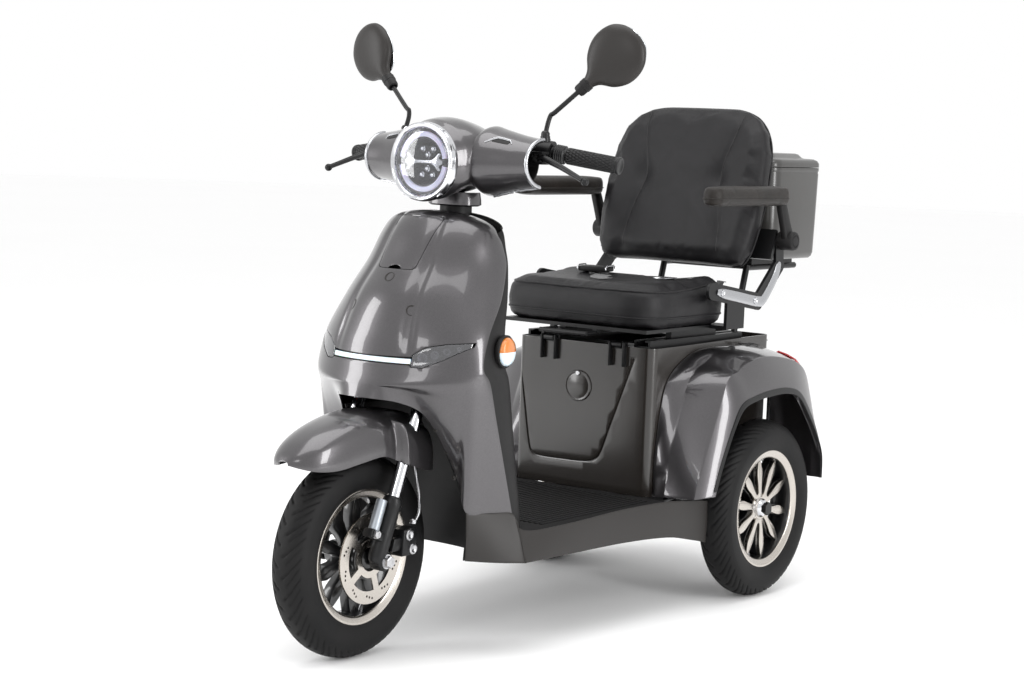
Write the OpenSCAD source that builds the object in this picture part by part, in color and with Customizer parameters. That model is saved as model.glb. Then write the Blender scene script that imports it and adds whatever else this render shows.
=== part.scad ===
// Three-wheeled mobility scooter with one seat. Forward is -Y, the rider's left is +X, and the ground is z = 0.
// Rows of numbers along a panel are stations: the panel is a smooth sheet drawn through them.

/* [Overall] */
// Distance between the front and the rear axle
wheelbase = 1130; // [1000:5:1400]
// Distance between the middles of the rear wheels
rear_track = 577; // [480:1:700]
// How far the rear axle lies behind the middle of the scooter
rear_axle_y = 451; // [380:1:520]
// Height of the floor deck's top face
deck_z = 255; // [210:1:300]
// Height of the seat box
pedestal_z = 590; // [500:5:640]

/* [Wheels] */
// Outer radius of the tyres
tyre_r = 210; // [200:1:220]
// Width of the tyres
tyre_w = 84; // [70:1:100]
// Wall thickness of a tyre
tyre_wall = 8; // [5:1:14]
// Radius of the rim's bead seat
bead_r = 130; // [110:1:140]
// Width of the rims
rim_w = 66; // [56:1:74]
// Radius of the wheel hubs
hub_r = 26; // [20:1:36]
// Number of spoke pairs in a wheel
spoke_pairs = 5; // [3:1:8]
// Radius of the front axle
axle_r = 7.5; // [6:0.5:10]
// Radius of the brake disc
disc_r = 93; // [80:1:105]
// Thickness of the brake disc
disc_t = 4; // [3:0.5:6]
// Distance from the middle of the front wheel to the disc
disc_x = 52; // [48:1:56]

/* [Fork] */
// Angle of the steering axis from upright
rake = 21.8; // [15:0.1:28]
// Distance of each fork leg from the middle
leg_x = 80; // [70:1:95]
// Radius of the polished stanchions
stanchion_r = 13.5; // [11:0.5:17]
// Outer radius of the fork sliders
slider_r = 19; // [17:0.5:24]
// How far the fork legs lie ahead of the axle
leg_lead = 14; // [8:1:20]
// How far the steering axis lies behind the fork legs
stem_set = 25; // [18:1:34]
// Radius of the steering stem
stem_r = 15; // [12:0.5:18]
// Outer radius of the head tube
head_tube_r = 25; // [22:0.5:32]
// Suspension travel of the fork
fork_travel = 50; // [30:5:60]
// Distance from the axle up to the lower fork crown
crown_s = 366; // [350:1:390]
// Thickness of the fork crown
crown_t = 30; // [20:1:40]
// Length of the head tube
head_tube_l = 228; // [180:1:260]

/* [Handlebar] */
// Radius of the handlebar tube
bar_r = 11; // [9:0.5:13]
// Outer radius of the grips
grip_r = 16.5; // [14:0.5:20]
// Radius of the headlight bezel
bezel_r = 81.5; // [70:0.5:90]
// Height of the headlight's middle
lamp_z = 1008; // [960:1:1050]
// Half width of the headlight housing
nacelle_w = 100; // [85:1:115]

/* [Seat] */
// Half width of the seat cushion
cushion_w = 230; // [190:5:234]
// Length of the seat cushion
cushion_l = 376; // [320:4:376]
// Thickness of the seat cushion
cushion_t = 106; // [80:2:120]
// Thickness of the seat's base plate
plate_t = 6; // [4:1:8]
// Half width of the backrest
back_w = 234; // [200:2:236]
// Height of the backrest cushion, measured along it
back_h = 420; // [360:5:450]
// Thickness of the backrest cushion
back_t = 90; // [60:5:110]
// Lean of the backrest
back_lean = 16.5; // [10:0.5:22]
// Radius of the armrest pivot pins
arm_pin_r = 8; // [6:0.5:10]
// Distance of each armrest from the middle
arm_x = 268; // [266:1:290]

/* [Body] */
// Wall thickness of the painted panels
wall = 4; // [3:0.5:6]
// Half width of the seat box
pedestal_w = 190; // [160:1:200]
// How far each rear mudguard stands out past the middle of its wheel
guard_out = 54; // [46:1:70]
// Radius of the charging port's socket
port_r = 8; // [6:0.5:12]
// Radius of the charging port's cover
cover_r = 36.5; // [28:0.5:44]
// Height of the charging port above the deck
port_up = 239; // [180:1:260]

/* [Top case] */
// Half width of the top case
case_w = 188; // [150:2:210]
// Length of the top case
case_l = 246; // [200:1:280]
// Height of the top case's lower half
case_h = 228; // [160:2:260]
// Height of the top case's lid
lid_h = 34; // [24:1:60]

/* [Clearances] */
// Radial running clearance of pins and shafts
run = 0.06; // [0.03:0.01:0.1]
// Gap between panels of different pieces
gap = 0.4; // [0.3:0.1:1]

/* [Hidden] */
$fn = 48;

front_axle_y = rear_axle_y - wheelbase;
axle_z = tyre_r;
stem_y = stem_set - leg_lead;
head_s = crown_s + crown_t + 6;
paint = "#5d5a5c";
black = "#1b1a19";
// How far a ball at a rod's bend stands out past the rod
weld = 0.3;
satin = "#3b3837";
steel = "#b9b9bb";

// ---- Frames of reference and general shapes ----

module front_end() translate([0, front_axle_y, 0]) children();
module fork_frame() translate([0, front_axle_y, axle_z]) rotate([-rake, 0, 0]) children();
module both() for (s = [0, 1]) mirror([s, 0, 0]) children();
// A cylinder along X whose middle is at the origin
module axle(r, l) rotate([0, 90, 0]) cylinder(r = r, h = l, center = true);
// A round rod between two points
module rod(a, b, r, fn = 24) {
    v = b - a;
    translate(a) rotate([0, acos(v.z / norm(v)), atan2(v.y, v.x)]) cylinder(r = r, h = norm(v), $fn = fn);
}
// A box given by its two corners
module slab(a, b) translate(a) cube(b - a);
// A rounded rectangle, w by d, centred
module round_rect(w, d, r) {
    square([w - 2 * r, d], center = true);
    square([w, d - 2 * r], center = true);
    for (x = [-1, 1], y = [-1, 1]) translate([x * (w / 2 - r), y * (d / 2 - r)]) circle(r);
}
function unit(v) = v / max(norm(v), 1e-9);
function clampi(i, n) = max(0, min(n - 1, i));
function wrapi(i, n, closed) = closed ? (i + n) % n : clampi(i, n);
// The inward normal of a grid of points at row i, column j
function inward(g, i, j, closed) =
    let (m = len(g), n = len(g[0]),
         across = g[i][wrapi(j + 1, n, closed)] - g[i][wrapi(j - 1, n, closed)],
         down = g[clampi(i + 1, m)][j] - g[clampi(i - 1, m)][j])
    unit(cross(across, down));
// A sheet of thickness t behind a grid of points: seen from outside, columns run right and rows run down
module sheet(g, t, closed = false) {
    m = len(g);
    n = len(g[0]);
    c = closed ? n : n - 1;
    outer = [for (i = [0:m - 1], j = [0:n - 1]) g[i][j]];
    inner = [for (i = [0:m - 1], j = [0:n - 1]) g[i][j] + t * inward(g, i, j, closed)];
    k = m * n;
    skin = [for (i = [0:m - 2], j = [0:c - 1])
        let (a = i * n + j, b = i * n + (j + 1) % n, d = b + n, e = a + n)
        each [[a, b, d], [a, d, e], [k + a, k + d, k + b], [k + a, k + e, k + d]]];
    ends = [for (j = [0:c - 1])
        let (a = j, b = (j + 1) % n, d = (m - 1) * n + j, e = (m - 1) * n + (j + 1) % n)
        each [[a, k + a, k + b], [a, k + b, b], [d, e, k + e], [d, k + e, k + d]]];
    sides = closed ? [] : [for (i = [0:m - 2])
        let (a = i * n, b = a + n, d = a + n - 1, e = d + n)
        each [[a, b, k + b], [a, k + b, k + a], [d, k + d, k + e], [d, k + e, e]]];
    polyhedron(concat(outer, inner), concat(skin, ends, sides), convexity = 8);
}
// A closed solid through rings of points: seen from outside, each ring runs right and the rings run down
module loft(g) {
    m = len(g);
    n = len(g[0]);
    skin = [for (i = [0:m - 2], j = [0:n - 1])
        let (a = i * n + j, b = i * n + (j + 1) % n, d = b + n, e = a + n)
        each [[a, b, d], [a, d, e]]];
    top = [for (j = [1:n - 2]) [0, j + 1, j]];
    end = (m - 1) * n;
    bottom = [for (j = [1:n - 2]) [end, end + j, end + j + 1]];
    polyhedron([for (r = g, p = r) p], concat(skin, top, bottom), convexity = 6);
}
function mix(a, b, t) = a * (1 - t) + b * t;
// Superellipse value: sign-keeping power
function spow(v, p) = sign(v) * pow(abs(v), p);

// ---- Front shield ----

// Stations of the shield from its top rear rim down to the light bar:
// [middle y behind the front axle, middle z, edge x, edge y, edge z, roundness of the section]
SHIELD = [[266, 906, 132, 279, 866, 1], [228, 909, 138, 279, 858, 1], [192, 903, 144, 281, 848, 1],
    [157, 868, 151, 280, 831, 1], [116, 800, 163, 274, 800, 1], [67, 735, 185, 232, 733, 1.1],
    [37, 660, 205, 169, 665, 1.3], [26, 606, 215, 141, 603, 1.5], [11, 566, 220, 159, 569, 1.3]];
// The shield's lower edge from the arch's top to the outer corner
SHIELD_FOOT = [[0, -1, 534], [40, 7, 533], [78, 39, 527], [106, 77, 508], [122, 107, 470], [138, 129, 420],
    [160, 139, 365], [185, 139, 304], [206, 190, 300], [225, 242, 297]];
foot_cols = len(SHIELD_FOOT) - 1;
shield_turn = 90 / foot_cols;
function shield_at(row, j) =
    let (s = j < 0 ? -1 : 1, t = abs(j) * shield_turn)
    [s * row[2] * sin(t), row[3] + (row[0] - row[3]) * pow(cos(t), row[5]), row[4] + (row[1] - row[4]) * cos(t)];
function foot_at(j) = let (p = SHIELD_FOOT[abs(j)]) [j < 0 ? -p.x : p.x, p.y, p.z];
shield_low = SHIELD[len(SHIELD) - 1];
SHIELD_GRID = concat(
    [for (row = SHIELD) [for (j = [-foot_cols:foot_cols]) shield_at(row, j)]],
    [for (k = [1:3]) [for (j = [-foot_cols:foot_cols]) mix(shield_at(shield_low, j), foot_at(j), k / 3)]]);

// The flap in the shield: top and bottom half widths and heights
lid_top_w = 57;
lid_low_w = 47;
lid_top_z = 896;
lid_low_z = 790;
module lid_outline(grow) front_end() translate([0, -60, 0]) rotate([-90, 0, 0]) linear_extrude(262)
    polygon([[-lid_low_w - grow, -lid_low_z + grow], [lid_low_w + grow, -lid_low_z + grow],
        [lid_top_w + grow, -lid_top_z - grow], [-lid_top_w - grow, -lid_top_z - grow]]);
module apron() color(paint) difference() {
    front_end() sheet(SHIELD_GRID, wall);
    lid_outline(0.7);
    both() light_outline(0, len(LIGHT) - 1, gap);
}
module apron_lid() color(paint) intersection() {
    front_end() sheet([for (i = [1:5]) SHIELD_GRID[i]], wall - 1);
    lid_outline(0);
}

// How far the rider's side of the shield lies behind the front axle at its middle, for each row of SHIELD
LEG_MID = [327, 321, 316, 310, 306, 298, 294, 298, 304];
leg_t = wall - 1;
function leg_row(mid, z, edge) = [mid, z, edge.x - leg_t - 3 * gap, edge.y + 6 * gap, edge.z, 0.5];
LEG_SHIELD = concat(
    [for (i = [0:len(SHIELD) - 1]) let (r = SHIELD[i]) leg_row(LEG_MID[i], r[1] - 8, [r[2], r[3], r[4]])],
    [for (k = [1:3]) let (e = mix(shield_at(shield_low, foot_cols), foot_at(foot_cols), k / 3))
        leg_row(304 + 6 * k, e.z, e)],
    [leg_row(326, deck_z + 0.8, [225, 250, deck_z + 0.8])]);
module leg_shield() color(black) front_end()
    sheet([for (row = LEG_SHIELD) [for (j = [8:-1:-8]) shield_at(row, j * foot_cols / 8)]], leg_t);

// Stations of the wheel well, [z, edge x, edge y, middle y]
WELL = [[500, 103, 89, 244], [460, 118, 118, 249], [410, 134, 136, 252],
    [350, 158, 146, 252], [300, 180, 146, 252], [205, 180, 140, 252]];
module wheel_well_liner() color(black) front_end()
    sheet([for (r = WELL) [for (j = [-8:8]) let (t = j * 90 / 8)
        [r[1] * spow(sin(t), 0.8), r[2] + (r[3] - r[2]) * spow(cos(t), 0.5), r[0]]]], wall - 1.5);

// Outline of the light bar from its middle, [x, height of its middle, half height]
LIGHT = [[0, 611, 6], [99, 612, 7], [101, 612, 7], [125, 620, 20], [160, 633, 15], [196, 648, 7]];
module light_outline(first, last, grow) front_end() translate([0, -80, 0]) rotate([-90, 0, 0]) linear_extrude(262)
    polygon(concat([for (j = [first:last]) let (p = LIGHT[j]) [p.x, -(p[1] + p[2] + grow)]],
        [for (j = [last:-1:first]) let (p = LIGHT[j]) [p.x, -(p[1] - p[2] - grow)]]));
module light_band(first, last, grow) intersection() {
    front_end() sheet([for (i = [5:9]) SHIELD_GRID[i]], wall - 1);
    light_outline(first, last, grow);
}
module front_light_bar() {
    color("white") both() light_band(0, 1, 0);
    color(black) both() light_band(2, 5, 0);
}
indicator_r = 31;
module front_indicators() both() translate([208, front_axle_y + 217, 631]) rotate([0, 90, 8]) {
    color(black) cylinder(r = indicator_r + 2, h = 8);
    color("darkorange") translate([0, 0, 8]) cylinder(r1 = indicator_r, r2 = indicator_r - 6, h = 8);
}

// ---- Floor ----

// Deck outline stations, [y, half width]
deck_front_y = front_axle_y + 270;
pedestal_y = 128;
DECK = [[deck_front_y, 226], [deck_front_y + 110, 257], [-90, 265], [pedestal_y - 60, 277], [pedestal_y + 96, 284]];
deck_t = 5;
module floor_deck() color(black) {
    difference() {
        translate([0, 0, deck_z - deck_t]) linear_extrude(deck_t)
            polygon(concat([for (p = DECK) [p[1], p[0]]], [for (i = [len(DECK) - 1:-1:0]) [-DECK[i][1], DECK[i][0]]]));
        slab([-160, pedestal_y + 30, deck_z - deck_t - 1], [160, pedestal_y + 140, deck_z + 1]);
        slab([-24, deck_front_y - 1, deck_z - deck_t - 1], [24, deck_front_y + 28, deck_z + 1]);
    }
    for (x = [-210:35:210]) slab([x - 5, deck_front_y + 95, deck_z - 1], [x + 5, pedestal_y - 40, deck_z + 2]);
}
// Skirt stations: [top x, y, top z, bottom x, bottom z]
SKIRT = [[186, front_axle_y + 139, 303.5, 187, 205], [207, front_axle_y + 190, 299.5, 226, 200],
    [226, front_axle_y + 242, 296.5, 258, 197], [244, front_axle_y + 258, 262, 262, 197],
    [263, deck_front_y + 111, deck_z + 6, 267, 196], [272, -89, deck_z + 13, 275, 194],
    [283, pedestal_y - 58, deck_z + 12, 285, 186], [288, pedestal_y + 40, deck_z + 3, 288, 168],
    [290, pedestal_y + 102, deck_z - 4, 290, 154]];
module floor_skirt() color(satin) both() sheet([for (e = [0, 1, 2]) [for (s = SKIRT)
    [mix(s[0], s[3], e / 2), s[1], mix(s[2], s[4], e / 2)]]], wall - 1);

// ---- Frame ----

rail_x = 100;
rail_w = 36;
rail_top = deck_z - deck_t;
rail_h = 38;
post_r = 15;
post_y1 = pedestal_y + 80;
post_y2 = pedestal_y + 170;
upper_z = pedestal_z - 34;
upper_x = 140;
upper_y2 = rear_axle_y + 159;
frame_w = 30;
swing_y = post_y1 + 20;
swing_z = rail_top - rail_h - 16;
swing_pin_r = 8;
shock_x = 118;
shock_y = rear_axle_y + 12;
shock_r = 28;
knee = [0, front_axle_y + 276, 520];
module frame() color("#26282a") {
    difference() {
        union() {
            fork_frame() translate([0, stem_y, head_s]) cylinder(r = head_tube_r, h = head_tube_l);
            rod([0, knee.y, rail_top - 20], knee, 18);
            translate(knee) sphere(18 + weld);
            rod(knee, [0, front_axle_y + stem_y + 205, 655], 18);
        }
        fork_frame() translate([0, stem_y, head_s - 1]) cylinder(r = head_tube_r - 4, h = head_tube_l + 2);
    }
    both() {
        slab([rail_x - rail_w / 2, front_axle_y + 262, rail_top - rail_h], [rail_x + rail_w / 2, post_y2 + post_r, rail_top]);
        for (y = [post_y1, post_y2]) translate([rail_x, y, rail_top - 5]) cylinder(r = post_r, h = upper_z - rail_top + 10);
        slab([rail_x - post_r, post_y1 - 12, upper_z], [upper_x + frame_w / 2, post_y1 + 12, upper_z + 20]);
        slab([upper_x - frame_w / 2, pedestal_y + 22, upper_z], [upper_x + frame_w / 2, upper_y2, upper_z + frame_w]);
    }
    for (y = [front_axle_y + 262, -100, post_y1 - 14])
        slab([-rail_x, y, rail_top - rail_h + 4], [rail_x, y + 34, rail_top - 4]);
    for (y = [pedestal_y + 22, upper_y2 - frame_w]) slab([-upper_x, y, upper_z + 2], [upper_x, y + frame_w, upper_z + frame_w]);
    both() slab([shock_x - shock_r, shock_y - 18, upper_z], [upper_x, shock_y + 18, upper_z + 12]);
    both() difference() {
        slab([rail_x - rail_w / 2, swing_y - 18, swing_z - 18], [rail_x - rail_w / 2 + 12, swing_y + 18, rail_top - rail_h + 1]);
        translate([rail_x, swing_y, swing_z]) axle(swing_pin_r + run, 60);
    }
}
bearing_h = 18;
module head_bearings() color(steel) fork_frame() for (s = [head_s, head_s + head_tube_l - bearing_h])
    translate([0, stem_y, s]) difference() {
        cylinder(r = head_tube_r - 4, h = bearing_h);
        translate([0, 0, -1]) cylinder(r = stem_r + run, h = bearing_h + 2);
    }
battery_w = 82;
battery_y1 = pedestal_y + 34;
module battery_pack() color("#2c3440") slab([-battery_w, battery_y1, deck_z - deck_t],
    [battery_w, post_y2 - 8, deck_z + 250]);
module motor_controller() color("#8d9094") {
    slab([-60, front_axle_y + 330, rail_top - 30], [60, front_axle_y + 460, rail_top]);
    for (x = [-54:12:54]) slab([x - 2, front_axle_y + 330, rail_top - 38], [x + 2, front_axle_y + 460, rail_top - 29]);
}

// ---- Seat box, mudguards and what they hold ----

pedestal_y2 = rear_axle_y + 207;
port_x = -12;
port_z = deck_z + port_up;
cover_pin_r = 3;
cover_pin_up = cover_r - 7;
module seat_pedestal() color("#4b4641") {
    difference() {
        translate([0, (pedestal_y + pedestal_y2) / 2, deck_z]) linear_extrude(pedestal_z - deck_z) difference() {
            round_rect(2 * pedestal_w, pedestal_y2 - pedestal_y, 22);
            round_rect(2 * (pedestal_w - wall), pedestal_y2 - pedestal_y - 2 * wall, 22 - wall);
        }
        slab([-pedestal_w - 1, pedestal_y + 136, deck_z - 1], [pedestal_w + 1, pedestal_y2 + 1, deck_z + 55]);
        translate([port_x, pedestal_y - 1, port_z]) rotate([-90, 0, 0]) cylinder(r = 24, h = wall + 2);
    }
    both() difference() {
        for (x = [hinge_x - 22, hinge_x + 16]) slab([x, hinge_y - 9, pedestal_z - 40], [x + 6, pedestal_y + 1, hinge_z + 7]);
        translate([0, hinge_y, hinge_z]) axle(hinge_pin_r + run, 400);
    }
    translate([port_x, pedestal_y + 1, port_z + cover_pin_up]) rotate([90, 0, 0]) {
        cylinder(r = cover_pin_r, h = 8);
        translate([0, 0, 5.4]) cylinder(r = cover_pin_r + 2, h = 2);
    }
}
module charge_socket() color(black) translate([port_x, pedestal_y, port_z]) rotate([-90, 0, 0]) difference() {
    union() {
        translate([0, 0, wall]) cylinder(r = 32, h = 4);
        cylinder(r = 24 - gap, h = 26);
    }
    translate([0, 0, -1]) cylinder(r = port_r, h = 20);
}
module charge_cover() color(paint) translate([port_x, pedestal_y - gap, port_z]) rotate([90, 0, 0]) difference() {
    cylinder(r = cover_r, h = 3.4);
    translate([0, cover_pin_up, -1]) cylinder(r = cover_pin_r + run, h = 6);
}

// Mudguard stations from the front foot over the wheel to the rear foot, as [y, z] behind the rear axle:
// against the seat box, on the inner crease, on the outer crease and at the wheel arch
GUARD = [[[-301, 257], [-316, 262], [-316, 267], [-274, 273]], [[-301, 350], [-301, 355], [-285, 345], [-248, 335]],
    [[-286, 450], [-266, 455], [-236, 445], [-206, 412]], [[-261, 520], [-226, 530], [-194, 528], [-166, 462]],
    [[-201, 563], [-171, 560], [-141, 548], [-106, 478]], [[-121, 586], [-101, 586], [-51, 572], [-31, 484]],
    [[-1, 586], [19, 588], [48, 567], [39, 484]], [[109, 582], [124, 574], [139, 545], [94, 468]],
    [[179, 550], [189, 535], [184, 505], [149, 415]], [[209, 480], [216, 470], [206, 430], [194, 362]],
    [[215, 380], [228, 372], [222, 330], [221, 318]], [[215, 262], [230, 262], [227, 262], [225, 262]]];
GUARD_PLACE = [0, 0.26, 0.8, 1];
guard_x = rear_track / 2 + guard_out;
function guard_at(k, j) = let (p = GUARD[k][j])
    [mix(pedestal_w + gap + wall / 2, guard_x, GUARD_PLACE[j]), rear_axle_y + p.x, p.y];
GUARD_GRID = [for (j = [0:3]) [for (k = [0:len(GUARD) - 1]) guard_at(k, j)]];
module rear_mudguards() color(paint) both() sheet(GUARD_GRID, wall);
lamp_t = 6;
LAMP_GRID = [for (u = [0.15, 0.85]) [for (v = [0.1, 0.9])
    mix(mix(guard_at(7, 1), guard_at(8, 1), v), mix(guard_at(7, 2), guard_at(8, 2), v), u)]];
module tail_lamps() color("#a01818") both()
    sheet([for (i = [0, 1]) [for (j = [0, 1]) LAMP_GRID[i][j] - (lamp_t + gap) * inward(LAMP_GRID, i, j, false)]], lamp_t);

module rear_shock_bodies() color("#33363a") both() translate([shock_x, shock_y, upper_z - 195]) {
    difference() {
        cylinder(r = shock_r, h = 195);
        translate([0, 0, -1]) cylinder(r = shock_r - 5, h = 180);
    }
}

// ---- Top case ----

case_y = rear_axle_y + 194;
case_z = 784;
case_mid = case_y + case_l / 2;
rack_x = 120;
rack_r = 8;
rack_z = case_z - 22;
rack_foot = [rack_x, upper_y2 - frame_w / 2, upper_z + frame_w + 2.6];
rack_bend = [rack_x, case_y, rack_z];
module top_case_rack() color(black) {
    both() {
        rod(rack_foot, rack_bend + 6 * unit(rack_bend - rack_foot), rack_r);
        rod(rack_bend - [0, 3, 0], rack_bend + [0, case_l - rack_r, 0], rack_r - 0.4);
    }
    for (y = [case_y + 30, case_y + case_l - 2 * rack_r]) translate([0, y, rack_z]) axle(rack_r - 1.5, 2 * rack_x);
    slab([-rack_x - 3, case_y + 20, rack_z + 3], [rack_x + 3, case_y + case_l - 24, case_z]);
}
hinge_set = 5;
module top_case_body() color("#4d4c4b") translate([0, case_mid, case_z]) {
    difference() {
        linear_extrude(case_h) round_rect(2 * case_w, case_l, 34);
        translate([0, 0, wall]) linear_extrude(case_h) round_rect(2 * (case_w - wall), case_l - 2 * wall, 34 - wall);
    }
    for (s = [-1, 1], x = [-24, 24]) translate([s * 110 + x, -case_l / 2 - hinge_set, case_h]) difference() {
        union() {
            axle(4.6, 8);
            slab([-4, -4.5, -12], [4, hinge_set + 1, -1.5]);
        }
        axle(2.5 + run, 10);
    }
}
module top_case_lid() color("#4d4c4b") translate([0, case_mid, case_z + case_h + gap]) {
    difference() {
        linear_extrude(lid_h) round_rect(2 * case_w, case_l, 34);
        translate([0, 0, -1]) linear_extrude(lid_h - wall + 1)
            round_rect(2 * (case_w - wall), case_l - 2 * wall, 34 - wall);
    }
    for (s = [-1, 1]) translate([s * 110, -case_l / 2 - hinge_set, -gap]) {
        axle(2.5, 56);
        slab([-18, -2.4, 0], [18, 2.4, 12]);
        slab([-18, -2.4, 7], [18, hinge_set + 1, 12]);
    }
    slab([-24, case_l / 2 + gap, -14], [24, case_l / 2 + 3, 16]);
    slab([-24, case_l / 2 - 1, 2], [24, case_l / 2 + 1, 16]);
}

// ---- Fork, front mudguard and front wheel ----

crown_y = -leg_lead;
stem_top = 868;
module fork_crown() color(steel) difference() {
    fork_body();
    translate(bar_mid) axle(bar_r + 0.04, 80);
}
module fork_body() fork_frame() {
    translate([0, 0, crown_s]) linear_extrude(crown_t) {
        translate([0, (stem_y + crown_y) / 2]) square([2 * leg_x, stem_set + 24], center = true);
        for (x = [-leg_x, leg_x]) translate([x, crown_y]) circle(stanchion_r + 6);
    }
    translate([0, stem_y, crown_s]) cylinder(r = stem_r, h = stem_top - crown_s);
    translate([0, stem_y, crown_s + crown_t]) cylinder(r = stem_r + 4, h = 5);
    both() translate([leg_x, crown_y, slider_top - 18]) cylinder(r = stanchion_r, h = crown_s - slider_top + 19);
}
// Front mudguard stations from the rear to the tip: [y behind the axle, half width, top z, edge z]
BILL = [[150, 96, 488, 404], [126, leg_x + 24, 496, 392], [90, leg_x + 25, 503, 394], [52, leg_x + 24, 507, 402],
    [38, 84, 508, 410], [0, 79, 509, 420], [-60, 76, 500, 413], [-120, 70, 483, 404], [-165, 58, 462, 404],
    [-195, 38, 440, 410], [-209, 12, 424, 416]];
module front_mudguard() color(paint) difference() {
    front_end() sheet([for (r = BILL) [for (j = [-6:6]) let (t = j * 15)
        [r[1] * spow(sin(t), 0.8), r[0], r[3] + (r[2] - r[3]) * pow(cos(t), 0.62)]]], wall - 1);
    fork_frame() both() translate([leg_x, crown_y, 200]) cylinder(r = stanchion_r + gap, h = 160);
}
slider_top = 130;
module fork_sliders() color(black) {
    fork_frame() both() {
        difference() {
            union() {
                translate([leg_x, crown_y, -8]) cylinder(r = slider_r, h = slider_top + 8);
                translate([leg_x, 0, 0]) axle(slider_r + 2, 2 * slider_r - 6);
                slab([leg_x - 8, crown_y - 52, 34], [leg_x + 14, crown_y - 12, 52]);
            }
            translate([leg_x, crown_y, slider_top - 18 - fork_travel - 3])
                cylinder(r = stanchion_r + run, h = fork_travel + 30);
            axle(axle_r + 0.02, 2 * leg_x + 3 * slider_r);
        }
        translate([leg_x + 14, crown_y - 40, 43]) axle(9, 8);
    }
    // the small grey cylinder ahead of the left leg, on its lug
    fork_frame() translate([leg_x + 4, crown_y - 38, 51.6]) cylinder(r = 11, h = 62);
    translate([0, front_axle_y, axle_z]) {
        axle(axle_r, 2 * (leg_x + slider_r) + 14);
        for (s = [-1, 1]) translate([s * (leg_x + slider_r + 2), 0, 0]) rotate([0, 90, 0])
            cylinder(r = 12, h = 9, center = true, $fn = 6);
    }
}
caliper_y = 70;
caliper_z = 28;
module front_caliper() color(black) translate([0, front_axle_y, axle_z]) {
    difference() {
        slab([40, caliper_y - 24, caliper_z - 30], [leg_x + 14, caliper_y + 32, caliper_z + 34]);
        translate([disc_x, 0, 0]) axle(disc_r + 3, disc_t + 3);
        slab([39, caliper_y - 25, caliper_z - 31], [disc_x, caliper_y - 8, caliper_z + 40]);
    }
    slab([leg_x - 4, slider_r / cos(rake) + 2 + gap, caliper_z - 14], [leg_x + 10, caliper_y - 20, caliper_z + 14]);
    for (z = [-16, 18]) translate([leg_x + 17, caliper_y + 4 + z / 5, caliper_z + z]) axle(11, 7);
    translate([leg_x, caliper_y + 10, caliper_z + 40]) cylinder(r = 5, h = 18, center = true);
    rod([leg_x, caliper_y + 12, caliper_z + 47], [leg_x + 3, caliper_y + 26, caliper_z + 130], 3);
}
// Half section of a tyre: radius against width, from one bead round the tread to the other
function tyre_half(inset) = [for (a = [-78:12:78])
    [tyre_r - 38 + (38 - inset) * cos(a), (tyre_w / 2 - inset) * spow(sin(a), 0.85)]];
module tyre() rotate([0, 90, 0]) rotate_extrude($fn = 96) polygon(concat(
    [[bead_r + 0.2, -rim_w / 2 + 5]], tyre_half(0), [[bead_r + 0.2, rim_w / 2 - 5]],
    [[bead_r + 0.2, rim_w / 2 - 5 - tyre_wall]],
    [for (p = [for (a = [78:-12:-78]) a]) let (q = p)
        [tyre_r - 38 + (38 - tyre_wall) * cos(q), (tyre_w / 2 - tyre_wall - 3) * spow(sin(q), 0.85)]],
    [[bead_r + 0.2, -rim_w / 2 + 5 + tyre_wall]]));
module spoke_wheel(bore, hub_l, hub, flange_x = 0, flange_r = 0) {
    rotate([0, 90, 0]) {
        rotate_extrude($fn = 96) polygon([[bead_r - 8, -rim_w / 2 + 6], [bead_r + 8, -rim_w / 2], [bead_r + 10, -rim_w / 2 + 2],
            [bead_r, -rim_w / 2 + 5], [bead_r, rim_w / 2 - 5], [bead_r + 10, rim_w / 2 - 2],
            [bead_r + 8, rim_w / 2], [bead_r - 8, rim_w / 2 - 6]]);
        difference() {
            union() {
                cylinder(r = hub, h = hub_l, center = true);
                if (flange_r > 0) translate([0, 0, flange_x]) cylinder(r = flange_r, h = 7.6);
            }
            cylinder(r = bore, h = hub_l + 2, center = true);
        }
        linear_extrude(26, center = true) for (k = [0:spoke_pairs - 1], s = [-9, 9])
            rotate(k * 360 / spoke_pairs + s) translate([hub - 3, -6]) square([bead_r - 2 - hub, 12]);
    }
}
module front_tyre() color("#1a1a1b") translate([0, front_axle_y, axle_z]) tyre();
module front_rim() color(black) translate([0, front_axle_y, axle_z])
    spoke_wheel(axle_r + run, 2 * (leg_x - slider_r) - 4, hub_r, disc_x - disc_t / 2 - 8, 44);
module front_disc() color(steel) translate([disc_x, front_axle_y, axle_z]) rotate([0, 90, 0]) {
    difference() {
        cylinder(r = disc_r, h = disc_t, center = true);
        cylinder(r = disc_r - 26, h = disc_t + 2, center = true);
        for (k = [0:9], e = [-6, 0, 6]) rotate(k * 36 + e) translate([disc_r - 13 + e / 2, 0, 0])
            cylinder(r = 2.5, h = disc_t + 2, center = true, $fn = 24);
    }
    difference() {
        union() {
            for (k = [0:4]) rotate(k * 72) translate([-8, 0, -disc_t / 2]) cube([16, disc_r - 24, disc_t]);
            cylinder(r = 40, h = disc_t, center = true);
        }
        cylinder(r = hub_r + gap, h = disc_t + 2, center = true);
    }
}

// ---- Steering head ----

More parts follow.
